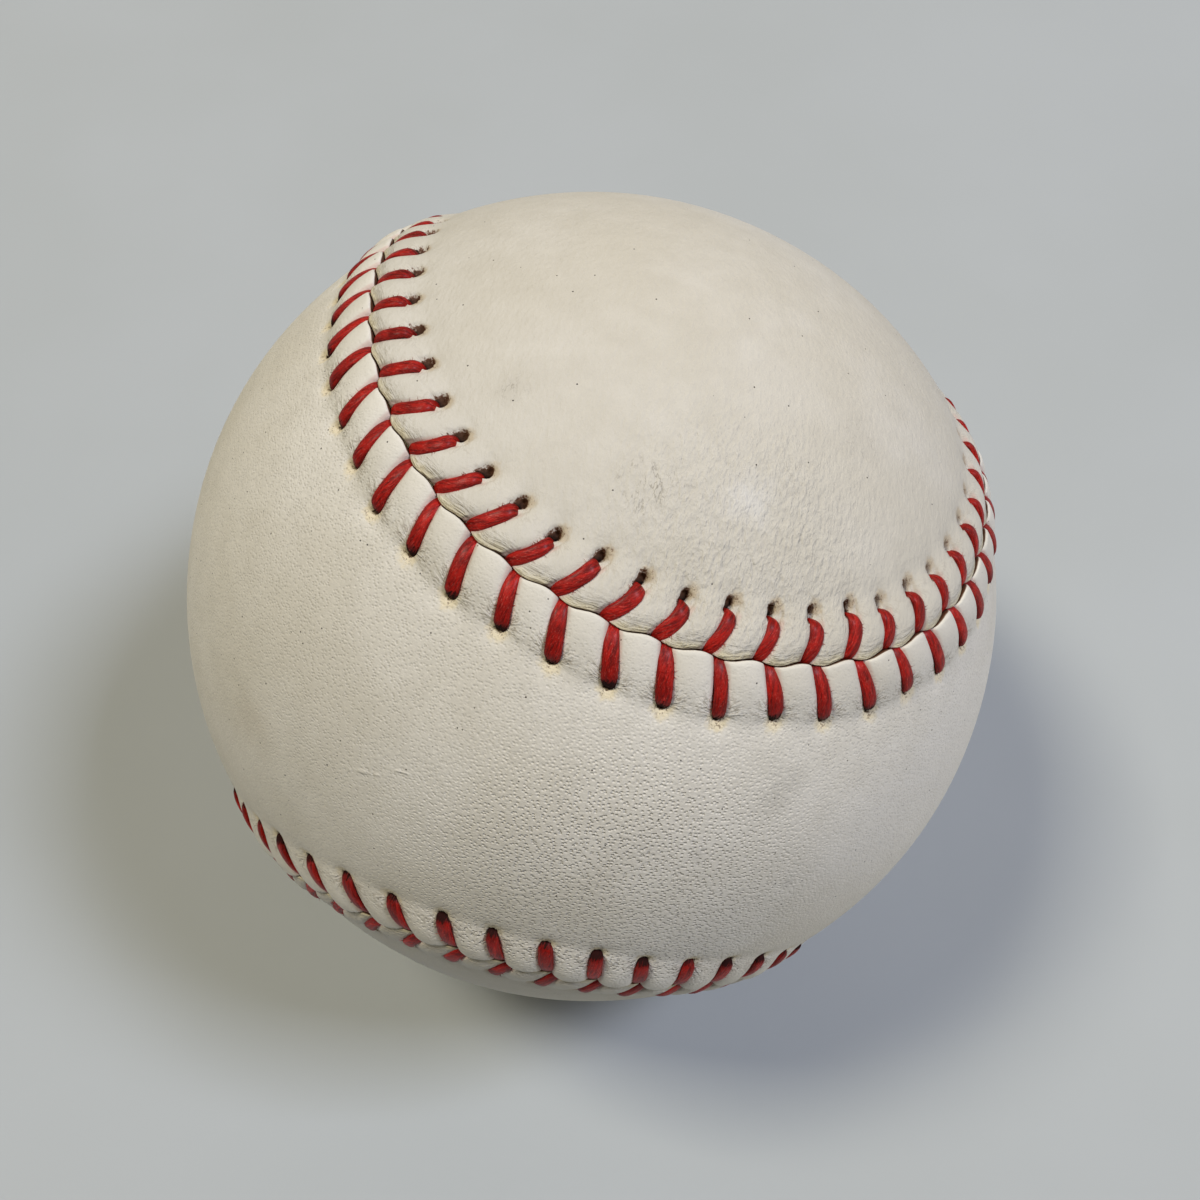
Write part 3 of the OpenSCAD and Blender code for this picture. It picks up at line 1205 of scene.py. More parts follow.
@dataclass(frozen=True)
class LeatherPlace:
    """Where a point of the leather lies, and the noises there: what the steps of the finish share."""

    s: Shader
    here: Amount
    inset: Amount
    stitch: Amount
    nearest: Amount
    beside: Amount
    off_leg: Amount
    ragged: Amount
    fray: Amount
    fine: Amount
    mottle: Amount

    def from_oval(self, at: tuple[float, float], half: tuple[float, float]) -> Amount:
        """Distance from an oval's middle.

        Args:
            at: The oval's inset and its distance beside the leg.
            half: Its half sizes along those two.

        Returns:
            The distance, 1 on the oval's outline.
        """
        across = (self.inset - at[0]) / half[0]
        along = (self.beside - at[1]) / half[1]
        return self.s.math("SQRT", across * across + along * along)


@dataclass(frozen=True)
class LeatherFinish:
    """Pale tanned leather, lightly soiled, with stitch holes, stains, wrinkles and worn edges, and with
    painted shade in its holes, pits and streaks and painted highlights.

    A span on a distance is in millimetres, or in shares of a mark's size round a hole.
    """

    name: str
    pitch: float
    base: Colour
    light: Colour
    edge: Colour
    edge_strength: float
    grain: Grain
    hole: HoleMark
    wrinkle_reach: float
    wrinkle_depth: float
    wrinkle_dirt: float
    pull_depth: float
    pull_dirt: float
    specks_per_mm: float
    # Smudges of dirt, and on the upper panel one painted highlight
    smudges_and_highlights: tuple[SmudgeOrHighlight, ...]
    creases: tuple[Crease, ...] = ()
    dirt: Colour = (128, 112, 86)
    speck: Colour = (44, 34, 26)
    # The holes' mouths: painted shade in the holes, over their dark stain
    mouth: Colour = (12, 5, 3)
    groove: Colour = (92, 60, 40)
    tinge: Colour = (206, 150, 138)
    roughness: float = 0.56
    roughness_swing: float = 0.2
    mouth_roughness: float = 0.4
    specular: float = 0.15
    ragged: Noise = Noise(1.6, 3, 0.6)
    fray: Noise = Noise(3.6, 3, 0.7)
    fine: Noise = Noise(7.0, 3, 0.65)
    mottle: Noise = Noise(0.4, 5, 0.65)
    clouds: Noise = Noise(0.05, 4, 0.6)
    cloud_span: Span = (0.35, 0.65)
    mottle_span: Span = (0.25, 0.75)
    mottle_tones: Span = (0.972, 1.015)
    fine_tones: Span = (0.96, 1.04)
    fine_depth: float = 0.012
    calm_least: float = 0.3
    calm_span: Span = (0.8, 3.0)
    speck_shares: Span = (0.075, 0.05)
    fleck_lines: Noise = Noise(3.0, 2, 0.6)
    fleck_line_share: float = 0.4
    fleck_line_width: float = 0.05
    fleck_spots: Noise = Noise(1.3, 2, 0.6)
    fleck_spot_share: float = 0.5
    fleck_span: Span = (0.42, 0.6)
    patch_waves: Noise = Noise(0.7, 4, 0.65)
    patch_ragged: float = 1.6
    patch_heart_share: float = 0.1
    crease_path: Noise = Noise(1.1, 3, 0.6)
    crease_ragged: float = 0.5
    crease_breaks: Noise = Noise(1.4, 2, 0.5)
    crease_break_span: Span = (0.36, 0.6)
    between_span: Span = (0.5, 0.85)
    edge_ragged: float = 0.9
    edge_span: Span = (0.8, 0.05)
    wrinkles: Noise = Noise(4.6, 2, 0.55, 0.6)
    wrinkle_share: float = 0.16
    wrinkle_ragged: float = 1.6
    wrinkle_full: float = 0.3
    wrinkle_span: Span = (0.5, 0.34)
    wrinkle_line_width: float = 0.04
    wrinkle_line_share: float = 0.6
    pulls: Noise = Noise(1.7, 2, 0.6, 0.3)
    pull_shares: tuple[float, float, float] = (2.4, 0.5, 3.7)
    pull_width: float = 0.06
    pull_reach: Span = (2.3, 0.9)
    pull_inner: Span = (4.2, 3.4)
    pull_outer: Span = (1.3, 2.5)
    tinge_strength: float = 0.3
    tinge_beside: Span = (0.78, 0.55)
    tinge_inset: Span = (3.4, 2.9)
    stain_fray: float = 0.8
    stain_span: Span = (1.15, 0.4)
    rust_span: Span = (0.9, 0.5)
    rust_fray: Span = (0.05, 0.11)
    rust_strength: float = 0.6
    mouth_ragged: float = 0.7
    mouth_fray: float = 1.6
    rim_span: Span = (1.25, 0.95)
    rim_strength: float = 0.92
    tip_fray: float = 0.6
    tip_span: Span = (0.3, 1.0)
    tip_light: float = 0.55
    mouth_span: Span = (1.05, 0.75)
    groove_ragged: float = 0.03
    groove_span: Span = (0.035, 0.0)

    def _place(self) -> LeatherPlace:
        """Starts the material.

        Returns:
            The numbers that the finish's steps share.
        """
        s = Shader(self.name)
        here, stitch = s.place(), s.number("along")
        nearest = s.math("ROUND", stitch)
        beside = (stitch - nearest) * self.pitch
        return LeatherPlace(
            s=s, here=here, inset=s.number("inset"), stitch=stitch, nearest=nearest, beside=beside,
            off_leg=s.math("ABSOLUTE", beside), ragged=s.swing(here, self.ragged),
            fray=s.swing(here, self.fray), fine=s.noise(here, self.fine),
            mottle=s.noise(here, self.mottle),
        )

    def _pits(self, at: LeatherPlace, here: Amount, heart: np.ndarray) -> Amount:
        """Distance from the pits' middles, in an even pattern that lies flat on the ball at the heart.

        Args:
            at: The numbers that the steps share.
            here: The place on the piece, shifted for the painted glints beside the pits.
            heart: The grain's heart, in millimetres.

        Returns:
            The distance in shares of a pit's cell.
        """
        side = unit(np.cross(heart, self.grain.direction))
        way = np.cross(side, unit(heart))
        flat = at.s.joined(at.s.along(here, way) * self.grain.pore_share, at.s.along(here, side), 0.0)
        return at.s.cells(flat, self.grain.pores_per_mm, flat=True)

    def _skin(self, at: LeatherPlace, heart: np.ndarray) -> tuple[Amount, list[Layer]]:
        """The bare leather: clouds, mottling, streaks, pits and specks, with painted shade and light on the
        streaks, painted shade in the pits and painted glints beside them.

        Args:
            at: The numbers that the steps share.
            heart: The grain's heart, in millimetres.

        Returns:
            The colour, and the layers of its relief.
        """
        s, here, grain = at.s, at.here, self.grain
        strong = s.rise(s.distance(here, heart), grain.reach[::-1])
        shown = grain.rest + (1 - grain.rest) * strong
        calm = self.calm_least + (1 - self.calm_least) * s.rise(at.inset, self.calm_span)
        streaks = s.grained(here, grain.direction, grain.streak_share)
        streaks = s.swing(streaks, grain.streaks) * shown
        loose = s.grained(here, grain.direction, grain.pore_share)
        loose = s.cells(loose, grain.pores_per_mm * grain.loose_scale)
        loose = s.rise(loose + (at.fine - NOISE_MIDDLE) * grain.loose_ragged, grain.loose_span)
        even = s.rise(self._pits(at, here, heart), grain.pit_span)
        pores = (loose * (1 - strong) * grain.rest + even * shown * strong) * calm
        # Painted glints: a lighter patch beside each pit, on its side that faces the lamps
        painted_glints = self._pits(at, s.shifted(here, grain.glint_shift), heart)
        painted_glints = s.rise(painted_glints, grain.glint_span) * shown * calm

        colour = s.mix(s.rise(s.noise(here, self.clouds), self.cloud_span), self.base, self.light)
        colour = s.shaded(
            colour,
            (s.rise(at.mottle, self.mottle_span), self.mottle_tones),
            # Painted shade in the streaks' hollows and painted light on their tops, on the same streaks as
            # the relief
            (NOISE_MIDDLE + streaks * grain.contrast, (1 - grain.streak_painted_shade, 1 + grain.streak_painted_shade / 2)),
            # Painted glints beside the pits
            (painted_glints, (1.0, 1 + grain.painted_glint_light)),
            # Painted shade in the pits
            (pores, (1.0, 1 - grain.pore_painted_shade)),
            (at.fine, self.fine_tones),
        )
        first, full = (share * self.specks_per_mm for share in self.speck_shares)
        colour = s.mix(s.rise(s.cells(here, self.specks_per_mm), (first, full)), colour, self.speck)
        layers = [(at.fine, self.fine_depth), (streaks, grain.streak_depth), (1 - pores, grain.pore_depth)]
        return colour, layers

    def _marked(self, at: LeatherPlace, camera: PhotoCamera, colour: Amount) -> Amount:
        """Lays the smudges of the photograph on the leather, and one painted highlight.

        Args:
            at: The numbers that the steps share.
            camera: Places the smudges and the painted highlight by their pixels.
            colour: The colour under them.

        Returns:
            The new colour.
        """
        s, here, way = at.s, at.here, self.grain.direction
        flecks = s.lines(s.noise(s.grained(here, way, self.fleck_line_share), self.fleck_lines),
                         self.fleck_line_width)
        spots = s.noise(s.grained(here, way, self.fleck_spot_share), self.fleck_spots)
        flecks = flecks * s.rise(spots, self.fleck_span)
        # Smudges of dirt, and on the upper panel one painted highlight where the window lamp's sheen falls
        for mark in self.smudges_and_highlights:
            waves = self.patch_waves.spread(math.sqrt(mark.radius))
            off = s.distance(here, camera.point(mark.pixel))
            off = off + s.swing(here, waves) * mark.radius * self.patch_ragged
            cover = s.rise(off, (mark.radius, self.patch_heart_share * mark.radius))
            share = (1 - mark.flecks) + mark.flecks * flecks
            colour = s.mix(cover * share * mark.strength, colour, mark.colour)
        return colour

    def _creased(self, at: LeatherPlace, camera: PhotoCamera) -> list[Layer]:
        """The creases of the photograph.

        Args:
            at: The numbers that the steps share.
            camera: Places the creases by their pixels.

        Returns:
            The layers of their relief.
        """
        s, here = at.s, at.here
        uneven = s.swing(here, self.crease_path) * self.crease_ragged
        broken = s.rise(s.noise(here, self.crease_breaks), self.crease_break_span)
        layers = []
        for crease in self.creases:
            off = s.from_stroke(here, camera.point(crease.start), camera.point(crease.end)) + uneven
            layers.append((s.rise(off, (crease.half_w, 0.0)) * broken, crease.height))
        return layers

    def _worn(self, at: LeatherPlace, colour: Amount) -> tuple[Amount, list[Layer]]:
        """Adds the worn edge, the wrinkles between the legs and the pulled lines round the holes.

        Args:
            at: The numbers that the steps share.
            colour: The colour under them.

        Returns:
            The new colour, and the layers of their relief.
        """
        s, inset = at.s, at.inset
        between = s.rise(at.off_leg, self.between_span)
        wrinkles = s.joined(inset, at.stitch * (self.pitch * self.wrinkle_share), 0.0)
        wrinkles = s.noise(wrinkles, self.wrinkles)
        near_edge = s.rise(inset + at.ragged * self.wrinkle_ragged, (self.wrinkle_reach, self.wrinkle_full))
        worn = s.rise(inset + at.ragged * self.edge_ragged, self.edge_span)
        colour = s.mix(worn * between * self.edge_strength, colour, self.edge)
        creased = s.rise(wrinkles, self.wrinkle_span) * (1 - self.wrinkle_line_share)
        creased = creased + s.lines(wrinkles, self.wrinkle_line_width) * self.wrinkle_line_share
        colour = s.mix(creased * near_edge * self.wrinkle_dirt, colour, self.dirt)

        across = inset - self.hole.at[0]
        spoke = s.math("ARCTAN2", at.beside, across)
        reach = s.math("SQRT", across * across + at.beside * at.beside)
        parts = zip((spoke, reach, at.nearest), self.pull_shares)
        pulls = s.noise(s.joined(*(part * share for part, share in parts)), self.pulls)
        pulled = s.rise(reach, self.pull_reach)
        pulled = pulled * s.rise(inset, self.pull_inner) * s.rise(inset, self.pull_outer)
        colour = s.mix(s.lines(pulls, self.pull_width) * pulled * self.pull_dirt, colour, self.dirt)
        layers = [(wrinkles * near_edge * between, self.wrinkle_depth), (pulls * pulled, self.pull_depth)]
        return colour, layers

    def _holed(self, at: LeatherPlace, colour: Amount) -> tuple[Amount, Amount]:
        """Adds the thread's tinge, the stains of the holes, painted shade in their mouths, and the groove
        along the edge.

        Args:
            at: The numbers that the steps share.
            colour: The colour under them.

        Returns:
            The new colour, and the mask of the painted shade in the holes' mouths.
        """
        s, inset, fray, hole = at.s, at.inset, at.fray, self.hole
        beside_thread = s.rise(at.off_leg, self.tinge_beside) * s.rise(inset, self.tinge_inset)
        colour = s.mix(beside_thread * self.tinge_strength, colour, self.tinge)
        stain = at.from_oval(hole.stain_at, hole.stain_half) + at.ragged + fray * self.stain_fray
        colour = s.mix(s.rise(stain, self.stain_span) * hole.stain_strength, colour, hole.stain)
        rust = s.rise(stain, self.rust_span) * s.rise(fray, self.rust_fray)
        colour = s.mix(rust * self.rust_strength, colour, hole.rim)
        mouth = at.from_oval(hole.at, hole.half) + at.ragged * self.mouth_ragged + fray * self.mouth_fray
        colour = s.mix(s.rise(mouth, self.rim_span) * self.rim_strength, colour, hole.rim)
        # Painted shade in the holes' mouths, over their dark stain, darkest where the thread goes in
        from_tip = at.from_oval(hole.tip, (1.0, 1.0)) + fray * self.tip_fray
        deep = s.rise(mouth, self.mouth_span) * (1 - self.tip_light * s.rise(from_tip, self.tip_span))
        colour = s.mix(deep, colour, self.mouth)
        groove = s.rise(inset + at.ragged * self.groove_ragged, self.groove_span)
        return s.mix(groove, colour, self.groove), deep

    def make(self, camera: PhotoCamera) -> bpy.types.Material:
        """Makes the material.

        Args:
            camera: Places the grain's heart, the smudges, the painted highlight and the creases by their
                pixels.

        Returns:
            The material.
        """
        at = self._place()
        colour, skin = self._skin(at, camera.point(self.grain.heart))
        colour, wear = self._worn(at, self._marked(at, camera, colour))
        colour, deep = self._holed(at, colour)
        mottle = (at.mottle - NOISE_MIDDLE) * self.roughness_swing
        return at.s.finish({
            "Base Color": colour,
            "Roughness": self.roughness + mottle + deep * self.mouth_roughness,
            "Specular IOR Level": self.specular,
            "Normal": at.s.relief(*skin, *wear, *self._creased(at, camera)),
        })


@dataclass(frozen=True)
class ThreadFinish:
    """Waxed red cotton thread: two plies in a slow twist, with fine fibres, and with dirt and painted shade
    where it enters the leather.

    The stretches say how fast a noise runs along the thread and round it.
    """

    name: str = "waxed_red_thread"
    base: Colour = (182, 26, 16)
    deep: Colour = (114, 9, 5)
    fibre: Colour = (222, 116, 100)
    # Dirt and painted shade where the legs go into the leather
    soil_and_shade: Colour = (24, 11, 8)
    soil_shade_inset: float = 3.47
    soil_shade_half: float = 0.1
    soil_shade_strength: float = 0.95
    fibres: Noise = Noise(1.5, 4, 0.65)
    fibre_stretch: tuple[float, float] = (0.7, 2.2)
    fine: Noise = Noise(1.3, 3, 0.65)
    fine_stretch: tuple[float, float] = (3.5, 7)
    worn: Noise = Noise(1.1, 2, 0.5)
    worn_stretch: tuple[float, float] = (0.5, 0.6)
    leg_step: float = 40
    worn_step: float = 90
    base_span: Span = (0.34, 0.6)
    light_span: Span = (0.56, 0.7)
    light_strength: float = 0.5
    # Painted shade in the gaps between the fibres
    dark_span: Span = (0.46, 0.34)
    dark_strength: float = 0.6
    # Painted shade in the groove between the two plies
    ply_span: Span = (0.0, 0.22)
    ply_tones: Span = (0.9, 1.0)
    worn_span: Span = (0.34, 0.66)
    worn_tones: Span = (0.8, 1.18)
    # Painted shade: each leg darker towards its hole
    tip_span: Span = (1.6, 3.2)
    tip_tones: Span = (1.0, 0.84)
    leg_tones: Span = (0.9, 1.04)
    frays: tuple[float, float, float] = (1.3, 0.9, 0.35)
    # Painted shade where the legs come up out of the groove
    root_ragged: float = 0.4
    root_span: Span = (0.25, 0.0)
    root_strength: float = 0.3
    fibre_depth: float = 0.07
    fine_depth: float = 0.05
    roughness: float = 0.4
    fine_roughness: float = 0.2
    soil_roughness: float = 0.4
    specular: float = 0.18
    wax: float = 0.12
    wax_roughness: float = 0.3

    def make(self) -> bpy.types.Material:
        """Makes the material.

        Returns:
            The material.
        """
        s = Shader(self.name)
        run, across, up, inset, shade = (s.number(name) for name in THREAD_NUMBERS)
        fibres, fine, worn = (
            s.noise(s.joined(run * along, across * round_it, up * round_it + shade * step), noise)
            for noise, (along, round_it), step in (
                (self.fibres, self.fibre_stretch, self.leg_step),
                (self.fine, self.fine_stretch, self.leg_step),
                (self.worn, self.worn_stretch, self.worn_step),
            )
        )
        colour = s.mix(s.rise(fibres, self.base_span), self.deep, self.base)
        colour = s.mix(s.rise(fine, self.light_span) * self.light_strength, colour, self.fibre)
        # Painted shade in the gaps between the fibres
        colour = s.mix(s.rise(fine, self.dark_span) * self.dark_strength, colour, self.deep)
        colour = s.shaded(
            colour,
            # Painted shade in the groove between the two plies
            (s.rise(s.math("ABSOLUTE", across), self.ply_span), self.ply_tones),
            (s.rise(worn, self.worn_span), self.worn_tones),
            # Painted shade: each leg darker towards its hole
            (s.rise(inset, self.tip_span), self.tip_tones),
            (shade, self.leg_tones),
        )
        by_fibres, by_fine, by_shade = (
            (value - NOISE_MIDDLE) * share for value, share in zip((fibres, fine, shade), self.frays)
        )
        frayed = inset + (by_fibres + by_fine + by_shade)
        # Dirt and painted shade at the end where the leg goes into its hole
        end = s.rise(frayed, (self.soil_shade_inset - self.soil_shade_half, self.soil_shade_inset + self.soil_shade_half))
        colour = s.mix(end * self.soil_shade_strength, colour, self.soil_and_shade)
        # Painted shade where the leg comes up out of the groove
        root = s.rise(inset + (fibres - NOISE_MIDDLE) * self.root_ragged, self.root_span)
        colour = s.mix(root * self.root_strength, colour, self.soil_and_shade)
        return s.finish({
            "Base Color": colour,
            "Roughness": self.roughness + fine * self.fine_roughness + end * self.soil_roughness,
            "Specular IOR Level": self.specular,
            "Coat Weight": (1 - end) * self.wax,
            "Coat Roughness": self.wax_roughness,
            "Normal": s.relief((fibres, self.fibre_depth), (fine, self.fine_depth)),
        })


@dataclass(frozen=True)
class YarnFinish:
    """Yarn wound in crossing turns."""

    name: str
    base: Colour
    shadow: Colour
    strands_per_mm: float
    depth: float
    waver: Noise = Noise(0.2, 2, distortion=1.4)
    crossing: Noise = Noise(0.09, 1)
    crossing_span: Span = (0.46, 0.54)
    fuzz: Noise = Noise(3.2, 4, 0.7)
    fuzz_ragged: float = 0.4
    fuzz_height: float = 0.3
    fuzz_tones: Span = (0.85, 1.08)
    strand_span: Span = (0.05, 0.6)
    roughness: float = 0.9
    sheen: float = 0.3

    def make(self) -> bpy.types.Material:
        """Makes the material.

        Returns:
            The material.
        """
        s = Shader(self.name)
        here = s.place()
        first, second = (s.bands(here, self.strands_per_mm, way, self.waver) for way in Winding)
        over = s.rise(s.noise(here, self.crossing), self.crossing_span)
        strands = first * over + second * (1 - over)
        fuzz = s.noise(here, self.fuzz)
        lit = s.rise(strands + (fuzz - NOISE_MIDDLE) * self.fuzz_ragged, self.strand_span)
        return s.finish({
            "Base Color": s.shaded(s.mix(lit, self.shadow, self.base), (fuzz, self.fuzz_tones)),
            "Roughness": self.roughness,
            "Sheen Weight": self.sheen,
            "Normal": s.relief((strands + fuzz * self.fuzz_height, self.depth)),
        })


@dataclass(frozen=True)
class MouldedFinish:
    """Moulded or poured stuff with a faint grain: rubber, cork and rubber, dried cement."""

    name: str
    base: Colour
    grain: Colour
    grains_per_mm: float
    depth: float
    roughness: float
    share: float = 0.5
    cloud_scale: float = 3
    cloud_detail: float = 4
    cloud_roughness: float = 0.6
    cloud_ragged: float = 0.5
    grain_span: Span = (0.2, 0.65)
    roughness_swing: float = 0.2

    def make(self) -> bpy.types.Material:
        """Makes the material.

        Returns:
            The material.
        """
        s = Shader(self.name)
        here = s.place()
        grains = s.cells(here, self.grains_per_mm)
        cloud = Noise(self.grains_per_mm, self.cloud_detail, self.cloud_roughness)
        cloud = s.noise(here, cloud.spread(self.cloud_scale))
        mask = s.rise(grains + (cloud - NOISE_MIDDLE) * self.cloud_ragged, self.grain_span)
        return s.finish({
            "Base Color": s.mix(mask * self.share, self.base, self.grain),
            "Roughness": self.roughness + (cloud - NOISE_MIDDLE) * self.roughness_swing,
            "Normal": s.relief((grains + cloud * self.cloud_ragged, self.depth)),
        })


@dataclass(frozen=True)
class Lamp:
    """A soft square light that looks at the ball, sized in millimetres."""

    name: str
    direction: tuple[float, float, float]
    distance: float
    size: float
    colour: Colour
    level: float

    def build(self) -> None:
        """Makes the lamp, bright enough to give its level on white that faces it."""
        data = bpy.data.lights.new(self.name, "AREA")
        data.shape = "SQUARE"
        data.size = self.size * MM
        data.color = linear(self.colour)[:3]
        data.energy = self.level * (math.pi * self.distance * MM) ** 2
        lamp = bpy.data.objects.new(self.name, data)
        way = Vector(self.direction).normalized()
        lamp.location = way * self.distance * MM
        lamp.rotation_euler = way.to_track_quat("Z", "Y").to_euler()
        bpy.context.scene.collection.objects.link(lamp)


@dataclass(frozen=True)
class Studio:
    """A plain pale floor, two soft lamps, faint warm fills from the right and the back, and a dim sky."""

    floor_z: float
    floor_colour: Colour = (179, 183, 183)
    floor_light: Colour = (182, 186, 187)
    floor_clouds: Noise = Noise(0.02, 3, 0.5)
    floor_span: Span = (0.3, 0.7)
    floor_roughness: float = 0.75
    floor_specular: float = 0.2
    floor_half: float = 3000.0
    sky_colour: Colour = (255, 255, 255)
    sky_level: float = 0.018
    lamps: tuple[Lamp, ...] = (
        Lamp("window_lamp", (0.534, -0.04, 0.844), 1600.0, 380.0, (229, 235, 255), 0.648),
        Lamp("room_lamp", (-0.42, 0.06, 0.905), 1600.0, 380.0, (255, 249, 231), 0.586),
        Lamp("right_fill", (0.87, -0.25, 0.42), 1600.0, 1400.0, (255, 239, 206), 0.108),
        Lamp("back_fill", (0.0, 0.8, 0.6), 1600.0, 1400.0, (255, 239, 206), 0.108),
    )

    def _floor_finish(self) -> bpy.types.Material:
        """A matt, even floor with the faintest clouds.

        Returns:
            The material.
        """
        s = Shader("pale_floor")
        cloud = s.rise(s.noise(s.place(), self.floor_clouds), self.floor_span)
        return s.finish({
            "Base Color": s.mix(cloud, self.floor_colour, self.floor_light),
            "Roughness": self.floor_roughness,
            "Specular IOR Level": self.floor_specular,
        })

    def build(self) -> None:
        """Makes the floor, the lamps and the sky, and sets the plain view."""
        half = self.floor_half * MM
        mesh = bpy.data.meshes.new("floor")
        corners = [(-half, -half), (half, -half), (half, half), (-half, half)]
        mesh.from_pydata([(x, y, self.floor_z) for x, y in corners], [], [(0, 1, 2, 3)])
        floor = bpy.data.objects.new("floor", mesh)
        mesh.materials.append(self._floor_finish())
        bpy.context.scene.collection.objects.link(floor)
        floor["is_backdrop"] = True
        for lamp in self.lamps:
            lamp.build()
        world = bpy.data.worlds.new("even_sky")
        world.use_nodes = True
        background = world.node_tree.nodes["Background"]
        background.inputs["Color"].default_value = linear(self.sky_colour)
        background.inputs["Strength"].default_value = self.sky_level
        bpy.context.scene.world = world
        bpy.context.scene.view_settings.view_transform = "Standard"


@dataclass
class Baseball:
    """The whole ball: the sewn cover, and the layers under it."""

    seat_gap: float = 0.15
    leather_t: float = 1.0

    def __post_init__(self) -> None:
        """Takes the ball's radius from the frame: the cement coat, its gap and the leather."""
        low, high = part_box("cement_coat")
        self.radius = (high.z - low.z) / 2 / MM + self.seat_gap + self.leather_t
        self.seam = Seam(self.radius)
        self.plan = StitchPlan(self.seam)
        self.camera = PhotoCamera(self.radius)

    def _leathers(self) -> dict[Side, LeatherFinish]:
        """The two panels' finishes: the upper one is rougher, the lower one smooth and fine-grained.

        Returns:
            The finish for each side of the seam.
        """
        upper = LeatherFinish(
            name="rough_leather",
            pitch=self.seam.pitch,
            base=(209, 202, 186),
            light=(216, 210, 197),
            edge=(222, 210, 172),
            edge_strength=0.75,
            grain=Grain(
                direction=(0.2, 0.92, 0.33),
                heart=(750, 545),
                reach=(3.0, 14.0),
                rest=0.3,
                streak_share=0.5,
                streaks=Noise(2.4, 3, 0.6),
                streak_depth=0.3,
                streak_painted_shade=0.05,
                pore_share=0.6,
                pores_per_mm=2.4,
                pore_depth=0.015,
                pore_painted_shade=0.02,
            ),
            hole=HoleMark(
                at=(3.7, -0.62),
                half=(0.58, 0.38),
                tip=(3.15, -0.25),
                rim=(98, 50, 18),
                stain=(188, 160, 112),
                stain_at=(4.15, -0.2),
                stain_half=(0.7, 0.75),
                stain_strength=0.45,
            ),
            wrinkle_reach=1.9,
            wrinkle_depth=0.2,
            wrinkle_dirt=0.75,
            pull_depth=0.03,
            pull_dirt=0.2,
            specks_per_mm=0.6,
            smudges_and_highlights=(
                SmudgeOrHighlight((648, 482), 3.2, (120, 110, 92), 0.6, 1.0),
                SmudgeOrHighlight((512, 390), 1.6, (128, 120, 104), 0.5, 0.8),
                SmudgeOrHighlight((790, 470), 3.4, (150, 140, 122), 0.35, 1.0),
                SmudgeOrHighlight((862, 440), 3.2, (150, 144, 132), 0.45, 0.85),
                SmudgeOrHighlight((725, 546), 0.6, (140, 142, 140), 0.5, 0.4),
                # Painted highlight: the pale patch of the window lamp's sheen
                SmudgeOrHighlight((752, 500), 2.4, (232, 230, 226), 0.5, 0.3),
            ),
        )
        lower = LeatherFinish(
            name="smooth_leather",
            pitch=self.seam.pitch,
            base=(220, 213, 197),
            light=(229, 223, 210),
            edge=(232, 227, 214),
            edge_strength=0.4,
            grain=Grain(
                direction=(1.0, -0.22, -0.13),
                heart=(610, 925),
                reach=(6.0, 24.0),
                rest=0.25,
                streak_share=0.65,
                streaks=Noise(3.4, 3, 0.6),
                streak_depth=0.09,
                streak_painted_shade=0.015,
                pore_share=0.8,
                pores_per_mm=3.1,
                pore_depth=0.11,
                pore_painted_shade=0.28,
                painted_glint_light=0.26,
            ),
            hole=HoleMark(
                at=(3.72, 0.0),
                half=(0.42, 0.3),
                tip=(3.7, 0.0),
                rim=(84, 50, 26),
                stain=(232, 216, 178),
                stain_at=(4.1, 0.0),
                stain_half=(0.9, 0.85),
                stain_strength=0.75,
            ),
            wrinkle_reach=0.7,
            wrinkle_depth=0.02,
            wrinkle_dirt=0.05,
            pull_depth=0.18,
            pull_dirt=0.6,
            specks_per_mm=0.8,
            smudges_and_highlights=(
                SmudgeOrHighlight((250, 722), 4.2, (176, 158, 128), 0.2, 0.3),
                SmudgeOrHighlight((780, 790), 3.0, (150, 148, 142), 0.3, 0.6),
                SmudgeOrHighlight((697, 856), 1.2, (130, 128, 120), 0.4, 0.7),
                SmudgeOrHighlight((787, 884), 1.0, (120, 118, 110), 0.45, 0.7),
                SmudgeOrHighlight((640, 850), 2.5, (150, 146, 136), 0.25, 0.8),
            ),
            creases=(
                Crease((343, 767), (378, 775)),
                Crease((390, 769), (420, 777)),
                Crease((652, 801), (700, 797), 0.12, 0.02),
            ),
        )
        return {Side.UPPER: upper, Side.LOWER: lower}

    def _panels(self) -> Iterable[bpy.types.Object]:
        """Builds and dresses the two panels.

        Yields:
            Each panel.
        """
        reliefs = {
            Side.UPPER: Relief(
                pillow=0.6, pillow_near=0.4, crest_start=1.4, crest_end=1.6, foot=4.9, rim=0.15,
                crown_power=2.6, hole_at=(3.7, -0.55), hole_half=(0.66, 0.5),
            ),
            Side.LOWER: Relief(
                pillow=0.74, pillow_near=0.68, crest_start=0.7, crest_end=1.0, foot=4.9, rim=0.22,
                crown_power=2.1, hole_at=(3.78, 0.0), hole_half=(0.42, 0.38),
            ),
        }
        tips = {Side.UPPER: 135.0, Side.LOWER: 45.0}
        for side, finish in self._leathers().items():
            node = f"cover_panel_{side.name.lower()}"
            panel = CoverPanel(side, self.plan, reliefs[side], tips[side], self.leather_t)
            piece = panel.build(f"leather_{side.name.lower()}")
            piece.data.materials.append(finish.make(self.camera))
            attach(piece, "root")
            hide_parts(node)
            yield piece

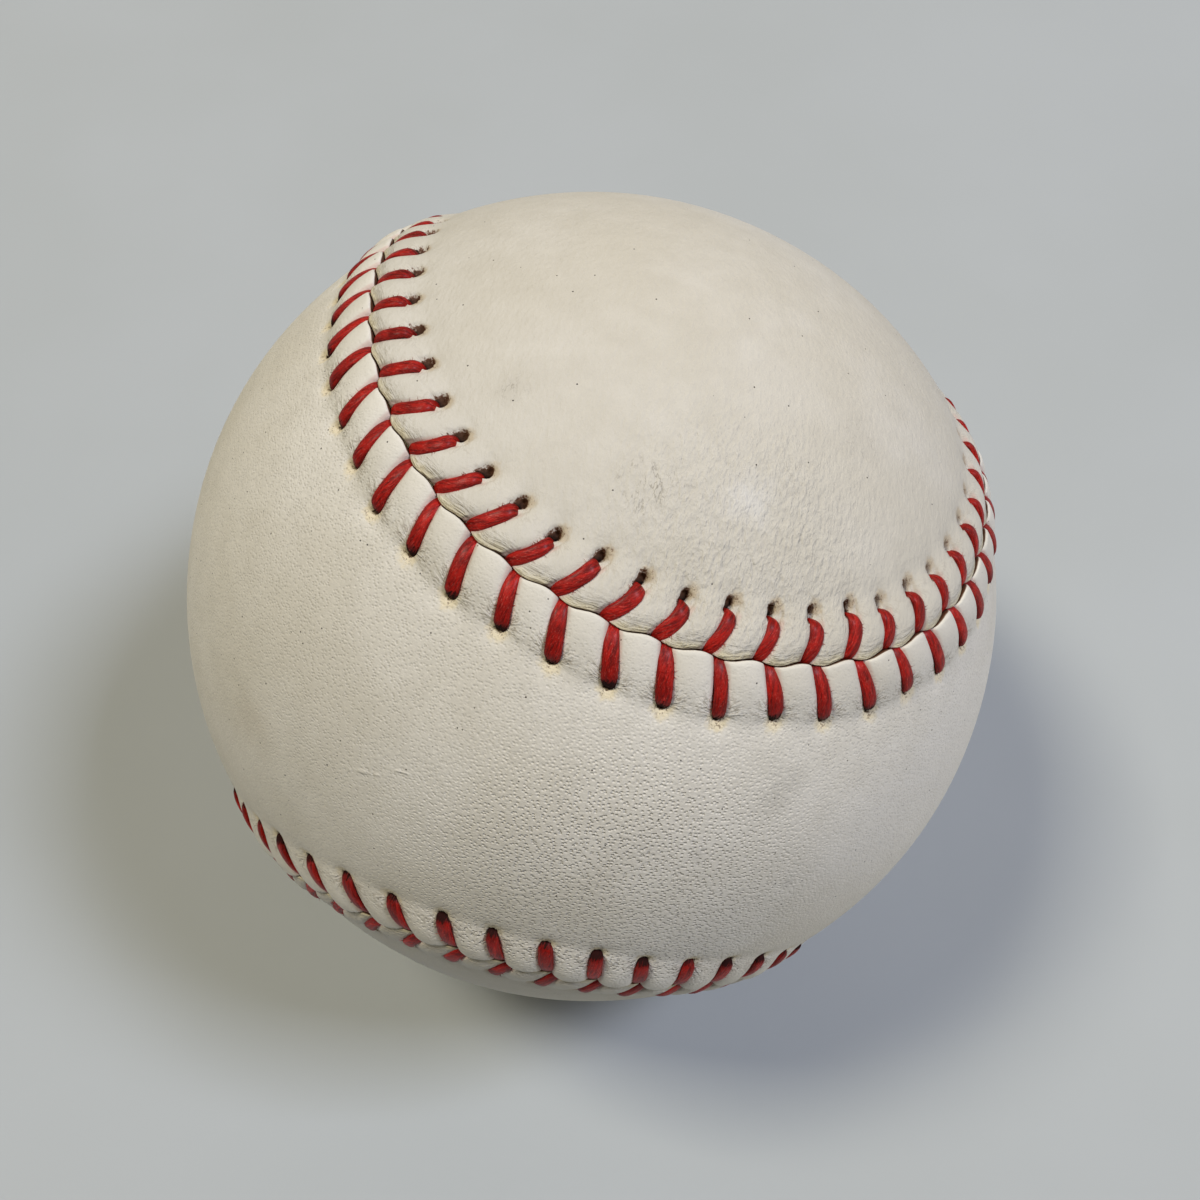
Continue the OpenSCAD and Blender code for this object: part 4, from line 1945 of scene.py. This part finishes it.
    def _thread(self) -> bpy.types.Object:
        """Builds and dresses the thread.

        Returns:
            The thread.
        """
        piece = RedThread(self.plan).build("sewing_thread")
        piece.data.materials.append(ThreadFinish().make())
        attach(piece, "root")
        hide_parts("red_thread")
        return piece

    def _layers(self) -> Iterable[bpy.types.Object]:
        """Gives the layers inside the cover their finishes.

        Yields:
            Each layer.
        """
        grey_wool = YarnFinish("grey_wool", (168, 166, 162), (92, 90, 88), 0.32, 0.35).make()
        white_wool = YarnFinish("white_wool", (230, 224, 210), (158, 150, 134), 0.36, 0.3)
        cotton = YarnFinish("cotton", (236, 230, 214), (176, 168, 148), 0.8, 0.15)
        cork = MouldedFinish("cork", (176, 132, 88), (104, 66, 38), 0.55, 0.15, 0.85, 0.8)
        black_rubber = MouldedFinish("black_rubber", (38, 38, 41), (58, 58, 60), 1.2, 0.03, 0.6)
        red_rubber = MouldedFinish("red_rubber", (150, 52, 44), (120, 36, 32), 1.2, 0.03, 0.6)
        cement = MouldedFinish("cement", (212, 200, 160), (190, 172, 126), 0.3, 0.04, 0.35)
        finishes = {
            "cork_core": cork.make(),
            "black_shell_upper": black_rubber.make(),
            "shell_gasket": red_rubber.make(),
            "wool_winding_first": grey_wool,
            "wool_winding_second": white_wool.make(),
            "cotton_winding": cotton.make(),
            "cement_coat": cement.make(),
        }
        finishes["black_shell_lower"] = finishes["black_shell_upper"]
        finishes["red_rubber_jacket"] = finishes["shell_gasket"]
        finishes["wool_winding_third"] = grey_wool
        for name, material in finishes.items():
            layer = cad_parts[name]
            layer.data.materials.clear()
            layer.data.materials.append(material)
            yield layer

    def build(self) -> None:
        """Makes every piece of the ball and reports it."""
        for piece in (*self._panels(), self._thread(), *self._layers()):
            LOG.info("%s: %d faces, %s", piece.name, len(piece.data.polygons), piece.data.materials[0].name)


def main() -> None:
    """Builds the camera, the ball and the studio, and works out the boxes of the part and of the looks."""
    logging.basicConfig(level=logging.INFO, format="%(name)s: %(message)s")
    ball = Baseball()
    ball.camera.build()
    ball.build()
    Studio(floor_z=cad_bounds[0].z).build()
    boxes = {"cad": cad_bounds, "visual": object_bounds()}
    {key: [list(corner) for corner in box] for key, box in boxes.items()}


if __name__ == "__main__":
    main()
